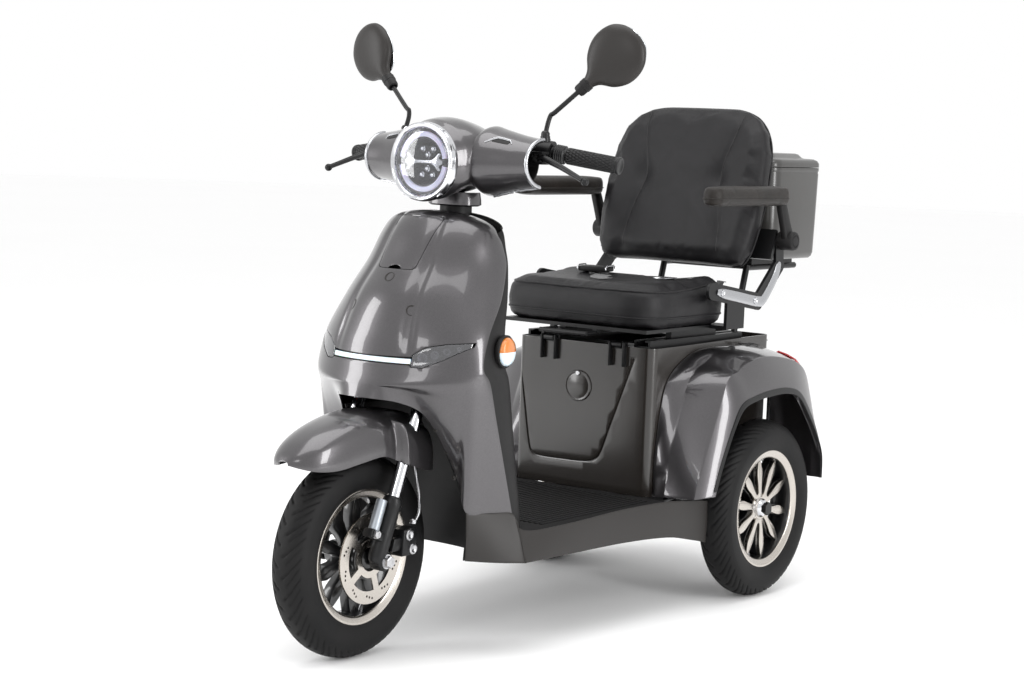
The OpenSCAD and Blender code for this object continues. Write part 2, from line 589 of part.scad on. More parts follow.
bar_mid = [0, front_axle_y + stem_y * cos(rake) + (stem_top - 20) * sin(rake),
    axle_z - stem_y * sin(rake) + (stem_top - 20) * cos(rake)];
bar_knee = [92, bar_mid.y, bar_mid.z];
bar_rise = [190, front_axle_y + 361, 1038];
bar_bend = bar_rise - 44 * unit([163, 33, -23]);
bar_end = [353, front_axle_y + 394, 1015];
bar_dir = unit(bar_end - bar_rise);
grip_from = bar_rise + 16 * bar_dir;
module along_bar() translate(grip_from) rotate([0, acos(bar_dir.z), atan2(bar_dir.y, bar_dir.x)]) children();
grip_l = norm(bar_end - grip_from);
module handlebar() color(black) both() {
    rod([0, bar_mid.y, bar_mid.z], bar_knee, bar_r);
    translate(bar_knee) sphere(bar_r + weld);
    rod(bar_knee, bar_bend, bar_r);
    translate(bar_bend) sphere(bar_r + weld);
    rod(bar_bend, bar_end - 4.4 * bar_dir, bar_r);
}
// The clamp at the middle, the switch pods and the master cylinders at the ends
pod_r = 24;
pod_l = 30;
lever_pin_r = 4;
perch_z = bar_rise.z - 12;
lever_at = [bar_rise.x + 26, bar_rise.y - 52, perch_z];
module perch() {
    difference() {
        slab([bar_rise.x - 22, bar_rise.y - 64, perch_z - 14], [bar_rise.x + 10, bar_rise.y - 8, perch_z + 12]);
        translate(bar_rise - 60 * bar_dir) rotate([0, acos(bar_dir.z), atan2(bar_dir.y, bar_dir.x)])
            cylinder(r = pod_r + 0.1, h = 120);
    }
    for (z = [-14, 7])
        slab([bar_rise.x + 9, lever_at.y - 12, perch_z + z], [lever_at.x + 10, lever_at.y + 12, perch_z + z + 5]);
    translate([lever_at.x, lever_at.y, perch_z - 10]) cylinder(r = lever_pin_r, h = 18);
}
horn_r = 6;
horn_at = grip_from - (pod_l / 2 + 2) * bar_dir;
module lever_perches() color(black) {
    difference() {
        both() {
            difference() {
                along_bar() translate([0, 0, -pod_l - 2]) cylinder(r = pod_r, h = pod_l);
                along_bar() translate([0, 0, -pod_l - 4]) cylinder(r = bar_r + gap / 4, h = pod_l + 6);
            }
            perch();
        }
        translate([horn_at.x, horn_at.y + 10, horn_at.z]) rotate([-90, 0, 0]) cylinder(r = horn_r + gap, h = 30);
    }
}
module horn_button() color("#c8b428") translate([horn_at.x, horn_at.y + bar_r + 5, horn_at.z]) rotate([-90, 0, 0])
    cylinder(r = horn_r, h = pod_r - bar_r);
module lever() color(black) {
    difference() {
        translate(lever_at - [0, 0, 8.6]) cylinder(r = 9, h = 15.2);
        translate(lever_at - [0, 0, 12]) cylinder(r = lever_pin_r + run, h = 24);
    }
    rod(lever_at + [7, -4, -1], lever_at + [60, -12, -18], 5.4);
    translate(lever_at + [60, -12, -18]) sphere(5.4 + weld);
    rod(lever_at + [60, -12, -18], lever_at + [127, -24, -44], 5.4);
    translate(lever_at + [127, -24, -44]) sphere(8);
}
module brake_lever_left() lever();
module brake_lever_right() mirror([1, 0, 0]) lever();
module grip(bore, l) color(black) along_bar() difference() {
    union() {
        cylinder(r = grip_r, h = l);
        translate([0, 0, 6]) cylinder(r = grip_r + 2.5, h = 22);
        translate([0, 0, l - 5]) cylinder(r = grip_r + 2, h = 5);
    }
    translate([0, 0, -1]) cylinder(r = bore, h = l - 3);
}
module left_grip() grip(bar_r + 0.05, grip_l);
module throttle_grip() mirror([1, 0, 0]) grip(bar_r + run, grip_l);

boot_at = [bar_rise.x - 2, bar_rise.y - 3, bar_rise.z + pod_r - 6];
stem_bend = boot_at + [-1, 11, 52];
ball_at = stem_bend + [73, 18, 66];
ball_r = 8;
sleeve_dir = unit(ball_at - stem_bend);
module mirror_stems() color(black) both() {
    difference() {
        translate(boot_at) cylinder(r1 = 10, r2 = 7, h = 24);
        along_bar() translate([0, 0, -pod_l - 20]) cylinder(r = pod_r + 0.1, h = pod_l + 40);
    }
    rod(boot_at + [0, 0, 20], stem_bend, 5);
    translate(stem_bend) sphere(5 + weld);
    rod(stem_bend, ball_at, 5);
    translate(ball_at) sphere(ball_r);
}
// Mirror head rings: [distance along the head, half width, half depth, shift rearwards]
MIRROR = [[0, 13, 12, 0], [16, 22, 14, 0], [36, 46, 19, 2], [62, 60, 22, 3], [90, 62, 22, 3], [116, 54, 19, 2], [134, 36, 13, 1], [143, 14, 6, 0]];
head_tilt = 46;
module mirror_head() color(black) {
    difference() {
        translate(ball_at) rotate([0, acos(sleeve_dir.z), atan2(sleeve_dir.y, sleeve_dir.x)])
            translate([0, 0, -11]) cylinder(r = 13, h = 24);
        translate(ball_at) sphere(ball_r + run);
        translate(ball_at) rotate([0, acos(sleeve_dir.z), atan2(sleeve_dir.y, sleeve_dir.x)])
            translate([0, 0, -20]) cylinder(r1 = 11, r2 = 6.4, h = 18);
    }
    translate(ball_at + 13 * sleeve_dir) rotate([0, head_tilt, 12])
        loft([for (r = [for (i = [len(MIRROR) - 1:-1:0]) MIRROR[i]]) [for (a = [0:20:340])
            [r[1] * cos(a), r[3] + r[2] * sin(a), r[0]]]]);
}
module mirror_head_left() mirror_head();
module mirror_head_right() mirror([1, 0, 0]) mirror_head();

bezel_y = front_axle_y + 192;
module lamp_axis() translate([0, bezel_y, lamp_z]) rotate([90, 0, 0]) children();
// Housing rings: [y behind the front axle, middle z, half width, half height], as shares of nacelle_w across
HOUSING = [[197, 1008, 0.76, 76], [229, 1014, 0.92, 84], [269, 1022, 1, 80], [319, 1020, 0.98, 74],
    [369, 1020, 0.87, 58], [417, 1027, 0.7, 41]];
module headlight_nacelle() color(paint) difference() {
    front_end() sheet([for (r = HOUSING) [for (a = [0:15:345])
        [r[2] * nacelle_w * cos(a), r[0], r[1] + r[3] * sin(a)]]], wall - 1, closed = true);
    translate(bar_mid) axle(bar_r + 9, 260);
    fork_frame() translate([0, stem_y, stem_top - 120]) cylinder(r = stem_r + 8, h = 90);
}
// Wing rings: [x, half depth, half height]
WING = [[94.6, 86, 73], [125, 80, 66], [170, 68, 56], [214, 61, 50]];
module cowl_wings() color(paint) both() difference() {
    front_end() sheet([for (a = [96:16:256]) [for (r = WING)
        [r.x, 320 + r[1] * cos(a), lamp_z + 5 + r[2] * sin(a)]]], wall - 1);
    hull() for (y = [-80, -40]) translate([lever_at.x - 10, lever_at.y + y + 52, perch_z]) cube([30, 1, 40], center = true);
}
module headlight_bezel() color("silver") lamp_axis() rotate_extrude($fn = 72) polygon([[bezel_r - 11, 8],
    [bezel_r - 5, 12], [bezel_r - 1, 8], [bezel_r, 0], [bezel_r - 2, -5], [bezel_r - 11, -5]]);
module headlight_lens() color("#d8dce4") lamp_axis() rotate_extrude($fn = 72) polygon([[0, 12], [30, 11], [bezel_r - 20, 7],
    [bezel_r - 12, 3], [bezel_r - 12, 0], [bezel_r - 20, 4], [30, 8], [0, 9]]);
module headlight_reflector() color("#3a3a3e") lamp_axis() rotate_extrude($fn = 72) polygon([[0, -44], [34, -42],
    [bezel_r - 16, -8], [bezel_r - 12, -5.2], [bezel_r - 12, -0.2], [bezel_r - 17, -0.2], [bezel_r - 22, -6], [32, -36], [0, -38]]);
dash_y = front_axle_y + 411.2;
key_r = 4;
key_at = [38, dash_y, lamp_z + 14];
module dash_display() color(black) {
    difference() {
        translate([0, dash_y, lamp_z + 19]) rotate([-90, 0, 0]) linear_extrude(6)
            scale([0.7 * nacelle_w - wall + 1 - gap, 38 - gap]) circle(1, $fn = 48);
        translate(key_at - [0, 1, 0]) rotate([-90, 0, 0]) cylinder(r = 9, h = 9);
    }
    translate(key_at - [0, 20, 0]) rotate([-90, 0, 0]) difference() {
        cylinder(r = 9, h = 28);
        translate([0, 0, 10]) cylinder(r = key_r + run, h = 19);
    }
}
module ignition_key() color(steel) translate(key_at - [0, 9, 0]) rotate([-90, 0, 0]) {
    cylinder(r = key_r, h = 24);
    translate([-1.5, -11, 19]) cube([3, 22, 20]);
}
module neck_cover() color(paint) difference() {
    translate([0, front_axle_y + 302, 920]) linear_extrude(20) round_rect(114, 76, 30);
    fork_frame() translate([0, stem_y, 500]) cylinder(r = stem_r + gap, h = 400);
}

// ---- Rear axle and wheels ----

diff_r = 58;
beam_r = 24;
spindle_r = 10;
drum_x = rear_track / 2 - 50;
motor_r = 46;
motor_up = 14;
module rear_axle_beam() color("#3c3e42") {
    translate([0, rear_axle_y, axle_z]) {
        axle(diff_r, 110);
        axle(beam_r, 2 * drum_x);
        for (s = [-1, 1]) translate([s * (drum_x - 3), 0, 0]) axle(70, 6);
        axle(spindle_r, rear_track + 64);
        for (s = [-1, 1]) translate([s * (rear_track / 2 + 34), 0, 0]) rotate([0, 90, 0])
            cylinder(r = 16, h = 8, center = true, $fn = 6);
    }
    both() {
        rod([rail_x - 28.5, swing_y, swing_z], [rail_x - 28.5, rear_axle_y, axle_z], 9);
        translate([rail_x - 28.5, swing_y, swing_z]) axle(15, 19);
        translate([rail_x - 20, swing_y, swing_z]) axle(swing_pin_r, 34);
        translate([shock_x, shock_y, axle_z + 10]) cylinder(r = 12, h = 20);
        translate([shock_x, shock_y, axle_z + 20]) cylinder(r = 6, h = upper_z - 195 + 24 - axle_z - 20);
    }
}
module drive_motor() color("#55585c") translate([0, rear_axle_y - sqrt(pow(diff_r + motor_r + gap, 2) - motor_up * motor_up), axle_z + motor_up]) {
    axle(motor_r, 104);
    for (a = [0:30:330]) rotate([a, 0, 0]) slab([-40, motor_r - 2, -2], [40, motor_r + (a > 100 && a < 260 ? 2 : 0.2), 2]);
}
module rear_tyre(x) color("#1a1a1b") translate([x, rear_axle_y, axle_z]) tyre();
module rear_rim(x) color("silver") translate([x, rear_axle_y, axle_z]) mirror([x < 0 ? 1 : 0, 0, 0]) {
    spoke_wheel(spindle_r + run, 56, hub_r + 4);
    rotate([0, 90, 0]) difference() {
        translate([0, 0, -49.5]) cylinder(r = 76, h = 26);
        translate([0, 0, -50]) cylinder(r = 71, h = 20);
        translate([0, 0, -50]) cylinder(r = hub_r, h = 30);
    }
}
module rear_tyre_left() rear_tyre(rear_track / 2);
module rear_tyre_right() rear_tyre(-rear_track / 2);
module rear_rim_left() rear_rim(rear_track / 2);
module rear_rim_right() rear_rim(-rear_track / 2);

// ---- Seat ----

seat_y = pedestal_y - 68;
base_z = pedestal_z + gap;
base_y2 = rear_axle_y + 109;
hinge_x = 96;
hinge_y = pedestal_y - 4;
hinge_z = base_z + plate_t + 4;
hinge_pin_r = 3;
slide_x = 150;
module seat_base_plate() color(black) {
    difference() {
        slab([-174, pedestal_y + 2, base_z], [174, base_y2, base_z + plate_t]);
        slab([-100, pedestal_y + 80, base_z - 1], [100, base_y2 - 80, base_z + plate_t + 1]);
    }
    both() {
        difference() {
            slab([slide_x - 22, pedestal_y + 14, base_z + plate_t], [slide_x + 22, base_y2 - 10, base_z + plate_t + 16]);
            slab([slide_x - 16, pedestal_y + 13, base_z + plate_t + 3], [slide_x + 16, base_y2, base_z + plate_t + 13]);
            slab([slide_x - 8, pedestal_y + 13, base_z + plate_t + 12], [slide_x + 8, base_y2, base_z + plate_t + 17]);
        }
        translate([hinge_x, hinge_y, hinge_z]) {
            axle(8, 26);
            axle(hinge_pin_r, 50);
        }
        slab([hinge_x - 10, hinge_y, base_z], [hinge_x + 10, pedestal_y + 3, hinge_z]);
    }
}
seat_pan_z = base_z + plate_t + 38;
slide_travel = 90;
slide_y1 = pedestal_y + slide_travel + 34;
module seat_slide() color(black) {
    both() {
        slab([slide_x - 16 + gap, slide_y1, base_z + plate_t + 3.3],
            [slide_x + 16 - gap, base_y2 - 110, base_z + plate_t + 12.7]);
        slab([slide_x - 8 + gap, slide_y1, base_z + plate_t + 12], [slide_x + 8 - gap, base_y2 - 110, seat_pan_z + 1]);
    }
    slab([-200, seat_y + 20, seat_pan_z], [200, seat_y + cushion_l - 20, seat_pan_z + 8]);
    rod([-60, seat_y + 30, seat_pan_z - 8], [-60, seat_y - 20, seat_pan_z - 8], 5);
    rod([60, seat_y + 30, seat_pan_z - 8], [60, seat_y - 20, seat_pan_z - 8], 5);
    translate([0, seat_y - 20, seat_pan_z - 8]) axle(5, 130);
    for (x = [-60, 60]) slab([x - 6, seat_y + 20, seat_pan_z - 8], [x + 6, seat_y + 34, seat_pan_z + 1]);
}
cushion_z = seat_pan_z + 8 + gap;
// Cushion rings from top to bottom: [share of its thickness, inset]
PUFF = [[1, 26], [0.93, 9], [0.7, 0], [0.35, 2], [0.1, 12], [0, 26]];
module seat_cushion() color(black) translate([0, seat_y + cushion_l / 2, cushion_z])
    loft([for (r = PUFF) [for (a = [0:12:348])
        [(cushion_w - r[1]) * spow(cos(a), 0.36), (cushion_l / 2 - r[1]) * spow(sin(a), 0.36), r[0] * cushion_t]]]);
back_y = seat_y + cushion_l + 48;
back_z = cushion_z + cushion_t + 14;
module back_frame() translate([0, back_y, back_z]) rotate([-back_lean, 0, 0]) children();
// Backrest rings from top to bottom: [share of its height, share of its half width, share of its half thickness]
BACK = [[1, 0.42, 0.3], [0.985, 0.62, 0.55], [0.94, 0.76, 0.75], [0.8, 0.93, 0.92], [0.5, 1, 1], [0.28, 0.96, 1], [0.08, 0.86, 0.9], [0, 0.74, 0.6]];
module backrest_cushion() color(black) back_frame() loft([for (r = BACK) [for (a = [0:15:345])
    [r[1] * back_w * spow(cos(a), 0.5), r[2] * back_t / 2 * spow(sin(a), 0.6), r[0] * back_h]]]);
arm_y = back_y + 98;
arm_z = back_z + 76;
bracket_x = cushion_w + 8;
bracket_t = 8;
module flat_bar(a, b, w) {
    v = b - a;
    translate([a.x, a.y]) rotate(atan2(v.y, v.x)) translate([0, -w / 2]) square([norm(v), w]);
    translate([a.x, a.y]) circle(w / 2 + weld);
    translate([b.x, b.y]) circle(w / 2 + weld);
}
module backrest_bracket() color(black) {
    both() {
        translate([bracket_x, 0, 0]) rotate([90, 0, 90]) linear_extrude(bracket_t) {
            flat_bar([seat_y + 225, seat_pan_z + 92], [seat_y + 435, seat_pan_z + 60], 40);
            flat_bar([seat_y + 435, seat_pan_z + 60], [arm_y + 6, arm_z - 60], 40);
            flat_bar([arm_y + 6, arm_z - 60], [arm_y, arm_z], 36);
        }
        translate([bracket_x + bracket_t + 13, arm_y, arm_z]) axle(arm_pin_r, 30);
        slab([bracket_x, seat_y + 290, seat_pan_z], [bracket_x + bracket_t, seat_y + 370, seat_pan_z + 80]);
        slab([200 + gap, seat_y + 290, seat_pan_z], [bracket_x + bracket_t, seat_y + 350, seat_pan_z + 8]);
    }
    back_frame() slab([-bracket_x - bracket_t, back_t / 2 + 0.4, 46], [bracket_x + bracket_t, back_t / 2 + 10, 120]);
}
pad_y1 = arm_y - 374;
pad_y2 = arm_y - 30;
pad_z = arm_z + 88;
module armrest() color("#221d1a") {
    difference() {
        translate([arm_x, arm_y, arm_z]) axle(22, 2 * (arm_x - bracket_x - bracket_t - 0.6));
        translate([arm_x, arm_y, arm_z]) axle(arm_pin_r + run, 80);
    }
    difference() {
        translate([arm_x - 10, 0, 0]) rotate([90, 0, 90]) linear_extrude(20) flat_bar([arm_y, arm_z], [pad_y2 - 14, pad_z + 16], 36);
        translate([arm_x, arm_y, arm_z]) axle(arm_pin_r + run, 80);
    }
    translate([arm_x, (pad_y1 + pad_y2) / 2, pad_z]) {
        linear_extrude(36) round_rect(50, pad_y2 - pad_y1, 24);
        translate([0, 0, 36]) linear_extrude(6) round_rect(40, pad_y2 - pad_y1 - 10, 19);
    }
}
module armrest_left() armrest();
module armrest_right() mirror([1, 0, 0]) armrest();
belt_z = cushion_z + cushion_t + 0.4;
module lap_belt() color("#161616") {
    slab([-160, seat_y + 300, belt_z], [-112, seat_y + 345, belt_z + 2]);
    translate([-92, seat_y + 300, belt_z + 2]) rotate([0, 0, 12]) slab([-58, -26, 0], [30, 26, 14]);
    slab([-80, seat_y + 200, belt_z], [-32, seat_y + 275, belt_z + 1.9]);
    slab([96, seat_y + 300, belt_z], [144, seat_y + 345, belt_z + 2]);
    slab([104, seat_y + 250, belt_z], [136, seat_y + 300, belt_z + 3]);
}

frame();
head_bearings();
floor_deck();
floor_skirt();
apron();
leg_shield();
wheel_well_liner();
front_light_bar();
front_indicators();
seat_pedestal();
rear_mudguards();
tail_lamps();
battery_pack();
motor_controller();
charge_socket();
top_case_rack();
top_case_body();
rear_shock_bodies();
fork_crown();
front_mudguard();
handlebar();
headlight_nacelle();
cowl_wings();
headlight_bezel();
headlight_lens();
headlight_reflector();
dash_display();
neck_cover();
left_grip();
lever_perches();
mirror_stems();
fork_sliders();
front_caliper();
front_tyre();
front_rim();
front_disc();
rear_axle_beam();
drive_motor();
rear_tyre_left();
rear_rim_left();
rear_tyre_right();
rear_rim_right();
throttle_grip();
brake_lever_left();
brake_lever_right();
mirror_head_left();
mirror_head_right();
horn_button();
ignition_key();
top_case_lid();
apron_lid();
charge_cover();
seat_base_plate();
seat_slide();
seat_cushion();
backrest_cushion();
backrest_bracket();
armrest_left();
armrest_right();
lap_belt();
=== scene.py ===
import bmesh
import bpy
import math
from mathutils import Matrix, Vector
from mathutils.bvhtree import BVHTree


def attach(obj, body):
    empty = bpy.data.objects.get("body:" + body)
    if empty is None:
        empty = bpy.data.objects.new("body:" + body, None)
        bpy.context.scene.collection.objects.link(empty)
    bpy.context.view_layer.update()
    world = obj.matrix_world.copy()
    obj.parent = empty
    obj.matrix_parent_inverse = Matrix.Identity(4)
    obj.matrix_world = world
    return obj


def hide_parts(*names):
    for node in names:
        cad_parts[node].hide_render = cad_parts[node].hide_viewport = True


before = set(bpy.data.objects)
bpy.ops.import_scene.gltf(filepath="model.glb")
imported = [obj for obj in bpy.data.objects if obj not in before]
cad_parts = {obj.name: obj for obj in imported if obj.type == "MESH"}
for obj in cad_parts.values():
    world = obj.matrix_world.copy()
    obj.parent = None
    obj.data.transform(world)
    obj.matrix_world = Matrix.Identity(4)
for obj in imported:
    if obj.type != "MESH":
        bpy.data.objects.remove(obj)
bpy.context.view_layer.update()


# ---- The studio ----
# A pale floor, soft light from a large panel above, and a tall panel on each side, which the paint mirrors.
# The camera stands low on the scooter's left front, tipped a little clockwise.

def linear(code):
    """An sRGB hex colour as linear red, green, blue and alpha."""
    parts = [int(code[i:i + 2], 16) / 255 for i in (1, 3, 5)]
    return [c / 12.92 if c < 0.04045 else ((c + 0.055) / 1.055) ** 2.4 for c in parts] + [1]


def add(tree, kind, links=None, **settings):
    """A shader node of that kind, with its own settings and inputs by name, and links into its inputs."""
    made = tree.nodes.new("ShaderNode" + kind)
    for key, value in settings.items():
        if hasattr(made, key):
            setattr(made, key, value)
        else:
            made.inputs[key.replace("_", " ")].default_value = value
    for socket, source in (links or {}).items():
        tree.links.new(source, made.inputs[socket])
    return made


def finish_of(name, **settings):
    """A new material with one shader: the material, its tree, the shader and the object's coordinates."""
    made = bpy.data.materials.new(name)
    made.use_nodes = True
    tree = made.node_tree
    tree.nodes.clear()
    shader = add(tree, "BsdfPrincipled", **settings)
    add(tree, "OutputMaterial", {"Surface": shader.outputs[0]})
    place = add(tree, "TexCoord").outputs["Object"]
    return made, tree, shader, place


def toned(name, dark, pale, pattern, relief=None, grain=None, spread=(0, 1), **settings):
    """A material in two tones that follow a pattern, with a relief of that pattern or of its own grain."""
    made, tree, shader, place = finish_of(name, **settings)
    drawn = add(tree, links={"Vector": place}, **pattern)
    tint = add(tree, "ValToRGB", {"Fac": drawn.outputs["Fac"]})
    for end, where, tone in zip(tint.color_ramp.elements, spread, (dark, pale)):
        end.position = where
        end.color = linear(tone)
    tree.links.new(tint.outputs[0], shader.inputs["Base Color"])
    if relief:
        raised = add(tree, links={"Vector": place}, **grain) if grain else drawn
        bump = add(tree, "Bump", {"Height": raised.outputs["Fac"]}, **relief)
        tree.links.new(bump.outputs[0], shader.inputs["Normal"])
    return made


camera_at = Vector((2.7674, -3.9018, 1.091))
camera_aim = Vector((0, -0.155, 0.6144))
camera_roll = math.radians(2.227)
ahead = (camera_aim - camera_at).normalized()
level = ahead.cross(Vector((0, 0, 1))).normalized()
upward = level.cross(ahead)
right = level * math.cos(camera_roll) + upward * math.sin(camera_roll)
top = upward * math.cos(camera_roll) - level * math.sin(camera_roll)
camera = bpy.data.objects.new("camera", bpy.data.cameras.new("camera"))
camera.data.lens = 74.46
camera.data.sensor_width = 36
camera.data.clip_end = 100
camera.matrix_world = Matrix.Translation(camera_at) @ Matrix((right, top, -ahead)).transposed().to_4x4()
bpy.context.scene.collection.objects.link(camera)
bpy.context.scene.camera = camera
bpy.context.scene.view_settings.view_transform = "Standard"
bpy.context.scene.view_settings.look = "None"

room = bpy.data.worlds.new("studio_room")
bpy.context.scene.world = room
room.use_nodes = True
room.node_tree.nodes["Background"].inputs[0].default_value = linear("#ffffff")
room.node_tree.nodes["Background"].inputs[1].default_value = 1.0

# name, place, point it faces, width, height, power: metres and watts
PANELS = [
    ("panel_above", (0.2, -0.4, 3.6), (0, 0, 0.6), 3.2, 2.6, 62),
    ("panel_left", (3.4, -0.3, 1.5), (0, 0, 0.7), 0.8, 2.4, 60),
    ("panel_right", (-2.6, -2.6, 1.6), (0, -0.3, 0.7), 0.9, 2.4, 48),
    ("panel_front", (0.9, -4.2, 2.3), (0, -0.3, 0.6), 1.2, 1.0, 16)]
for name, place, aim, width, height, power in PANELS:
    panel = bpy.data.lights.new(name, "AREA")
    panel.shape = "RECTANGLE"
    panel.size, panel.size_y, panel.energy = width, height, power
    lamp = bpy.data.objects.new(name, panel)
    lamp.location = place
    lamp.rotation_euler = (Vector(aim) - Vector(place)).to_track_quat("-Z", "Y").to_euler()
    bpy.context.scene.collection.objects.link(lamp)

paper, tree, shader, place = finish_of("studio_paper", Roughness=0.85, Specular_IOR_Level=0.15)
tone = add(tree, "TexNoise", {"Vector": place}, Scale=0.7, Detail=2)
shade = add(tree, "ValToRGB", {"Fac": tone.outputs["Fac"]})
shade.color_ramp.elements[0].color = linear("#fcfcfc")
shade.color_ramp.elements[1].color = linear("#fefefe")
tree.links.new(shade.outputs[0], shader.inputs["Base Color"])
disc = [Vector((30 * math.cos(a * math.pi / 48), 30 * math.sin(a * math.pi / 48), -0.0005))
        for a in range(96)]
floor_mesh = bpy.data.meshes.new("studio_floor")
floor_mesh.from_pydata(disc, [], [list(range(96))])
floor_mesh.materials.append(paper)
floor = bpy.data.objects.new("studio_floor", floor_mesh)
bpy.context.scene.collection.objects.link(floor)


# ---- Front shield ----
# One moulded ABS panel, sprayed in a metallic gunmetal with a clear lacquer. It is about 4 mm thick and is
# screwed to the black leg shield behind it; a soft fold runs down each side of its flat middle.

wheelbase = 1130
rear_axle_y = 451
front_axle_y = rear_axle_y - wheelbase
axle_z = 210
FRONT = Matrix.Translation((0, front_axle_y, 0))


def through(points, steps, closed=False):
    """Points along a smooth curve through the given ones."""
    n, out = len(points), []
    for i in range(n if closed else n - 1):
        near = [points[(i + k) % n] if closed else points[min(max(i + k, 0), n - 1)] for k in (-1, 0, 1, 2)]
        a, b, c, d = [Vector(p) for p in near]
        for s in range(steps):
            t = s / steps
            out.append(b + (c - a) * (t / 2) + (2 * a - 5 * b + 4 * c - d) * (t * t / 2)
                       + (3 * b - a - 3 * c + d) * (t ** 3 / 2))
    return out if closed else out + [Vector(points[-1])]


def skin(rows, closed=False):
    """A sheet through rows of points: seen from outside, columns run right and rows run down."""
    m, n = len(rows), len(rows[0])
    faces = []
    for i in range(m - 1):
        for j in range(n if closed else n - 1):
            a, b = i * n + j, i * n + (j + 1) % n
            faces.append([a, a + n, b + n, b])
    return [Vector(p) for row in rows for p in row], faces


def smoothed(rows, steps):
    """Rows of points with smooth ones put between them, column by column."""
    columns = [through([row[j] for row in rows], steps) for j in range(len(rows[0]))]
    return [[column[i] for column in columns] for i in range(len(columns[0]))]


def piece(name, shape, material, body, stands_for=(), at=None, thick=0, bevel=0, rounds=0, split=35,
          flip=False, cuts=(), within=None):
    """An object of the scooter from a shape in millimetres, moved by the matrix `at`."""
    points, faces = shape
    if at is not None:
        points = [at @ Vector(p) for p in points]
    mesh = bpy.data.meshes.new(name)
    mesh.from_pydata([Vector(p) / 1000 for p in points], [], [f[::-1] for f in faces] if flip else faces)
    mesh.polygons.foreach_set("use_smooth", [True] * len(faces))
    mesh.materials.append(material)
    made = bpy.data.objects.new(name, mesh)
    bpy.context.scene.collection.objects.link(made)
    if thick:
        shell = made.modifiers.new("wall", "SOLIDIFY")
        shell.thickness, shell.offset = thick / 1000, -1
        shell.use_even_offset = False
    for tool in list(cuts) + ([within] if within else []):
        hole = made.modifiers.new("cut", "BOOLEAN")
        hole.object, hole.solver = tool, "EXACT"
        hole.operation = "INTERSECT" if tool is within else "DIFFERENCE"
    if bevel:
        edge = made.modifiers.new("rounded_edges", "BEVEL")
        edge.width, edge.segments, edge.limit_method = bevel / 1000, 2, "ANGLE"
        edge.angle_limit = math.radians(max(split, 30))
    if rounds:
        made.modifiers.new("smooth", "SUBSURF").levels = rounds
        made.modifiers["smooth"].render_levels = rounds
    if split:
        made.modifiers.new("sharp_edges", "EDGE_SPLIT").split_angle = math.radians(split)
    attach(made, body)
    if stands_for:
        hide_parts(*stands_for)
    return made


def prism(outline, y1, y2):
    """A closed solid whose outline of (x, z) points is drawn along Y from y1 to y2."""
    n = len(outline)
    points = [Vector((x, y, z)) for y in (y1, y2) for x, z in outline]
    faces = [list(range(n))[::-1], list(range(n, 2 * n))]
    faces += [[i, (i + 1) % n, n + (i + 1) % n, n + i] for i in range(n)]
    return points, faces


def cutter(name, shape):
    """A hidden solid that cuts other pieces."""
    points, faces = shape
    mesh = bpy.data.meshes.new(name)
    mesh.from_pydata([Vector(p) / 1000 for p in points], [], faces)
    sides = bmesh.new()
    sides.from_mesh(mesh)
    bmesh.ops.recalc_face_normals(sides, faces=sides.faces)
    sides.to_mesh(mesh)
    made = bpy.data.objects.new(name, mesh)
    bpy.context.scene.collection.objects.link(made)
    made.hide_render = made.hide_viewport = True
    return made


# Metallic gunmetal: aluminium flakes of about half a millimetre in a dark grey-brown base, under a glossy
# lacquer with a faint orange-peel ripple about 4 mm across.
gunmetal, tree, shader, place = finish_of(
    "gunmetal_metallic_paint", Metallic=0.85, Roughness=0.3, Coat_Weight=0.9, Coat_Roughness=0.04)
flakes = add(tree, "TexVoronoi", {"Vector": place}, Scale=1 / 0.0005)
tint = add(tree, "ValToRGB", {"Fac": flakes.outputs["Color"]})
tint.color_ramp.elements[0].color = linear("#403e40")
tint.color_ramp.elements[1].color = linear("#585658")
peel = add(tree, "TexNoise", {"Vector": place}, Scale=1 / 0.004, Detail=1)
ripple = add(tree, "Bump", {"Height": peel.outputs["Fac"]}, Strength=0.02, Distance=0.0004)
tree.links.new(tint.outputs[0], shader.inputs["Base Color"])
tree.links.new(ripple.outputs[0], shader.inputs["Coat Normal"])

# Black ABS with a fine moulded grain about 0.8 mm across, slightly paler where it is scuffed
black_plastic = toned("grained_black_abs", "#0c0b0c", "#171616", dict(kind="TexNoise", Scale=14, Detail=4),
                      grain=dict(kind="TexNoise", Scale=1 / 0.0008, Detail=3), spread=(0.35, 0.75),
                      relief=dict(Strength=0.35, Distance=0.0002), Roughness=0.5, IOR=1.53,
                      Specular_IOR_Level=0.28)

# Rows of the shield from its top rear rim down to the light bar: middle y and z, edge x, y and z, roundness
SHIELD = [(266, 906, 132, 279, 866, 1), (228, 909, 138, 279, 858, 1), (192, 903, 144, 281, 848, 1),
          (157, 868, 151, 280, 831, 1), (116, 800, 163, 274, 800, 1), (67, 735, 185, 232, 733, 1.1),
          (37, 660, 205, 169, 665, 1.3), (26, 606, 215, 141, 603, 1.5), (11, 566, 220, 159, 569, 1.3)]
# The lower edge from the top of the wheel arch to the outer corner
FOOT = [(0, -1, 534), (40, 7, 533), (78, 39, 527), (106, 77, 508), (122, 107, 470), (138, 129, 420),
        (160, 139, 365), (185, 139, 304), (206, 190, 300), (225, 242, 297)]


def shield_row(row, t):
    """A point of a shield row at t degrees from its middle."""
    yc, zc, xe, ye, ze, p = row
    c = max(math.cos(math.radians(t)), 0)
    s = math.sin(math.radians(t))
    return Vector((xe * s, ye + (yc - ye) * c ** p, ze + (zc - ze) * c))


def foot_point(t):
    """A point of the shield's lower edge at t degrees from its middle."""
    path = through(FOOT, 10)
    p = path[round(abs(t) / 90 * (len(path) - 1))]
    return Vector((math.copysign(p.x, t) if t else 0, p.y, p.z))


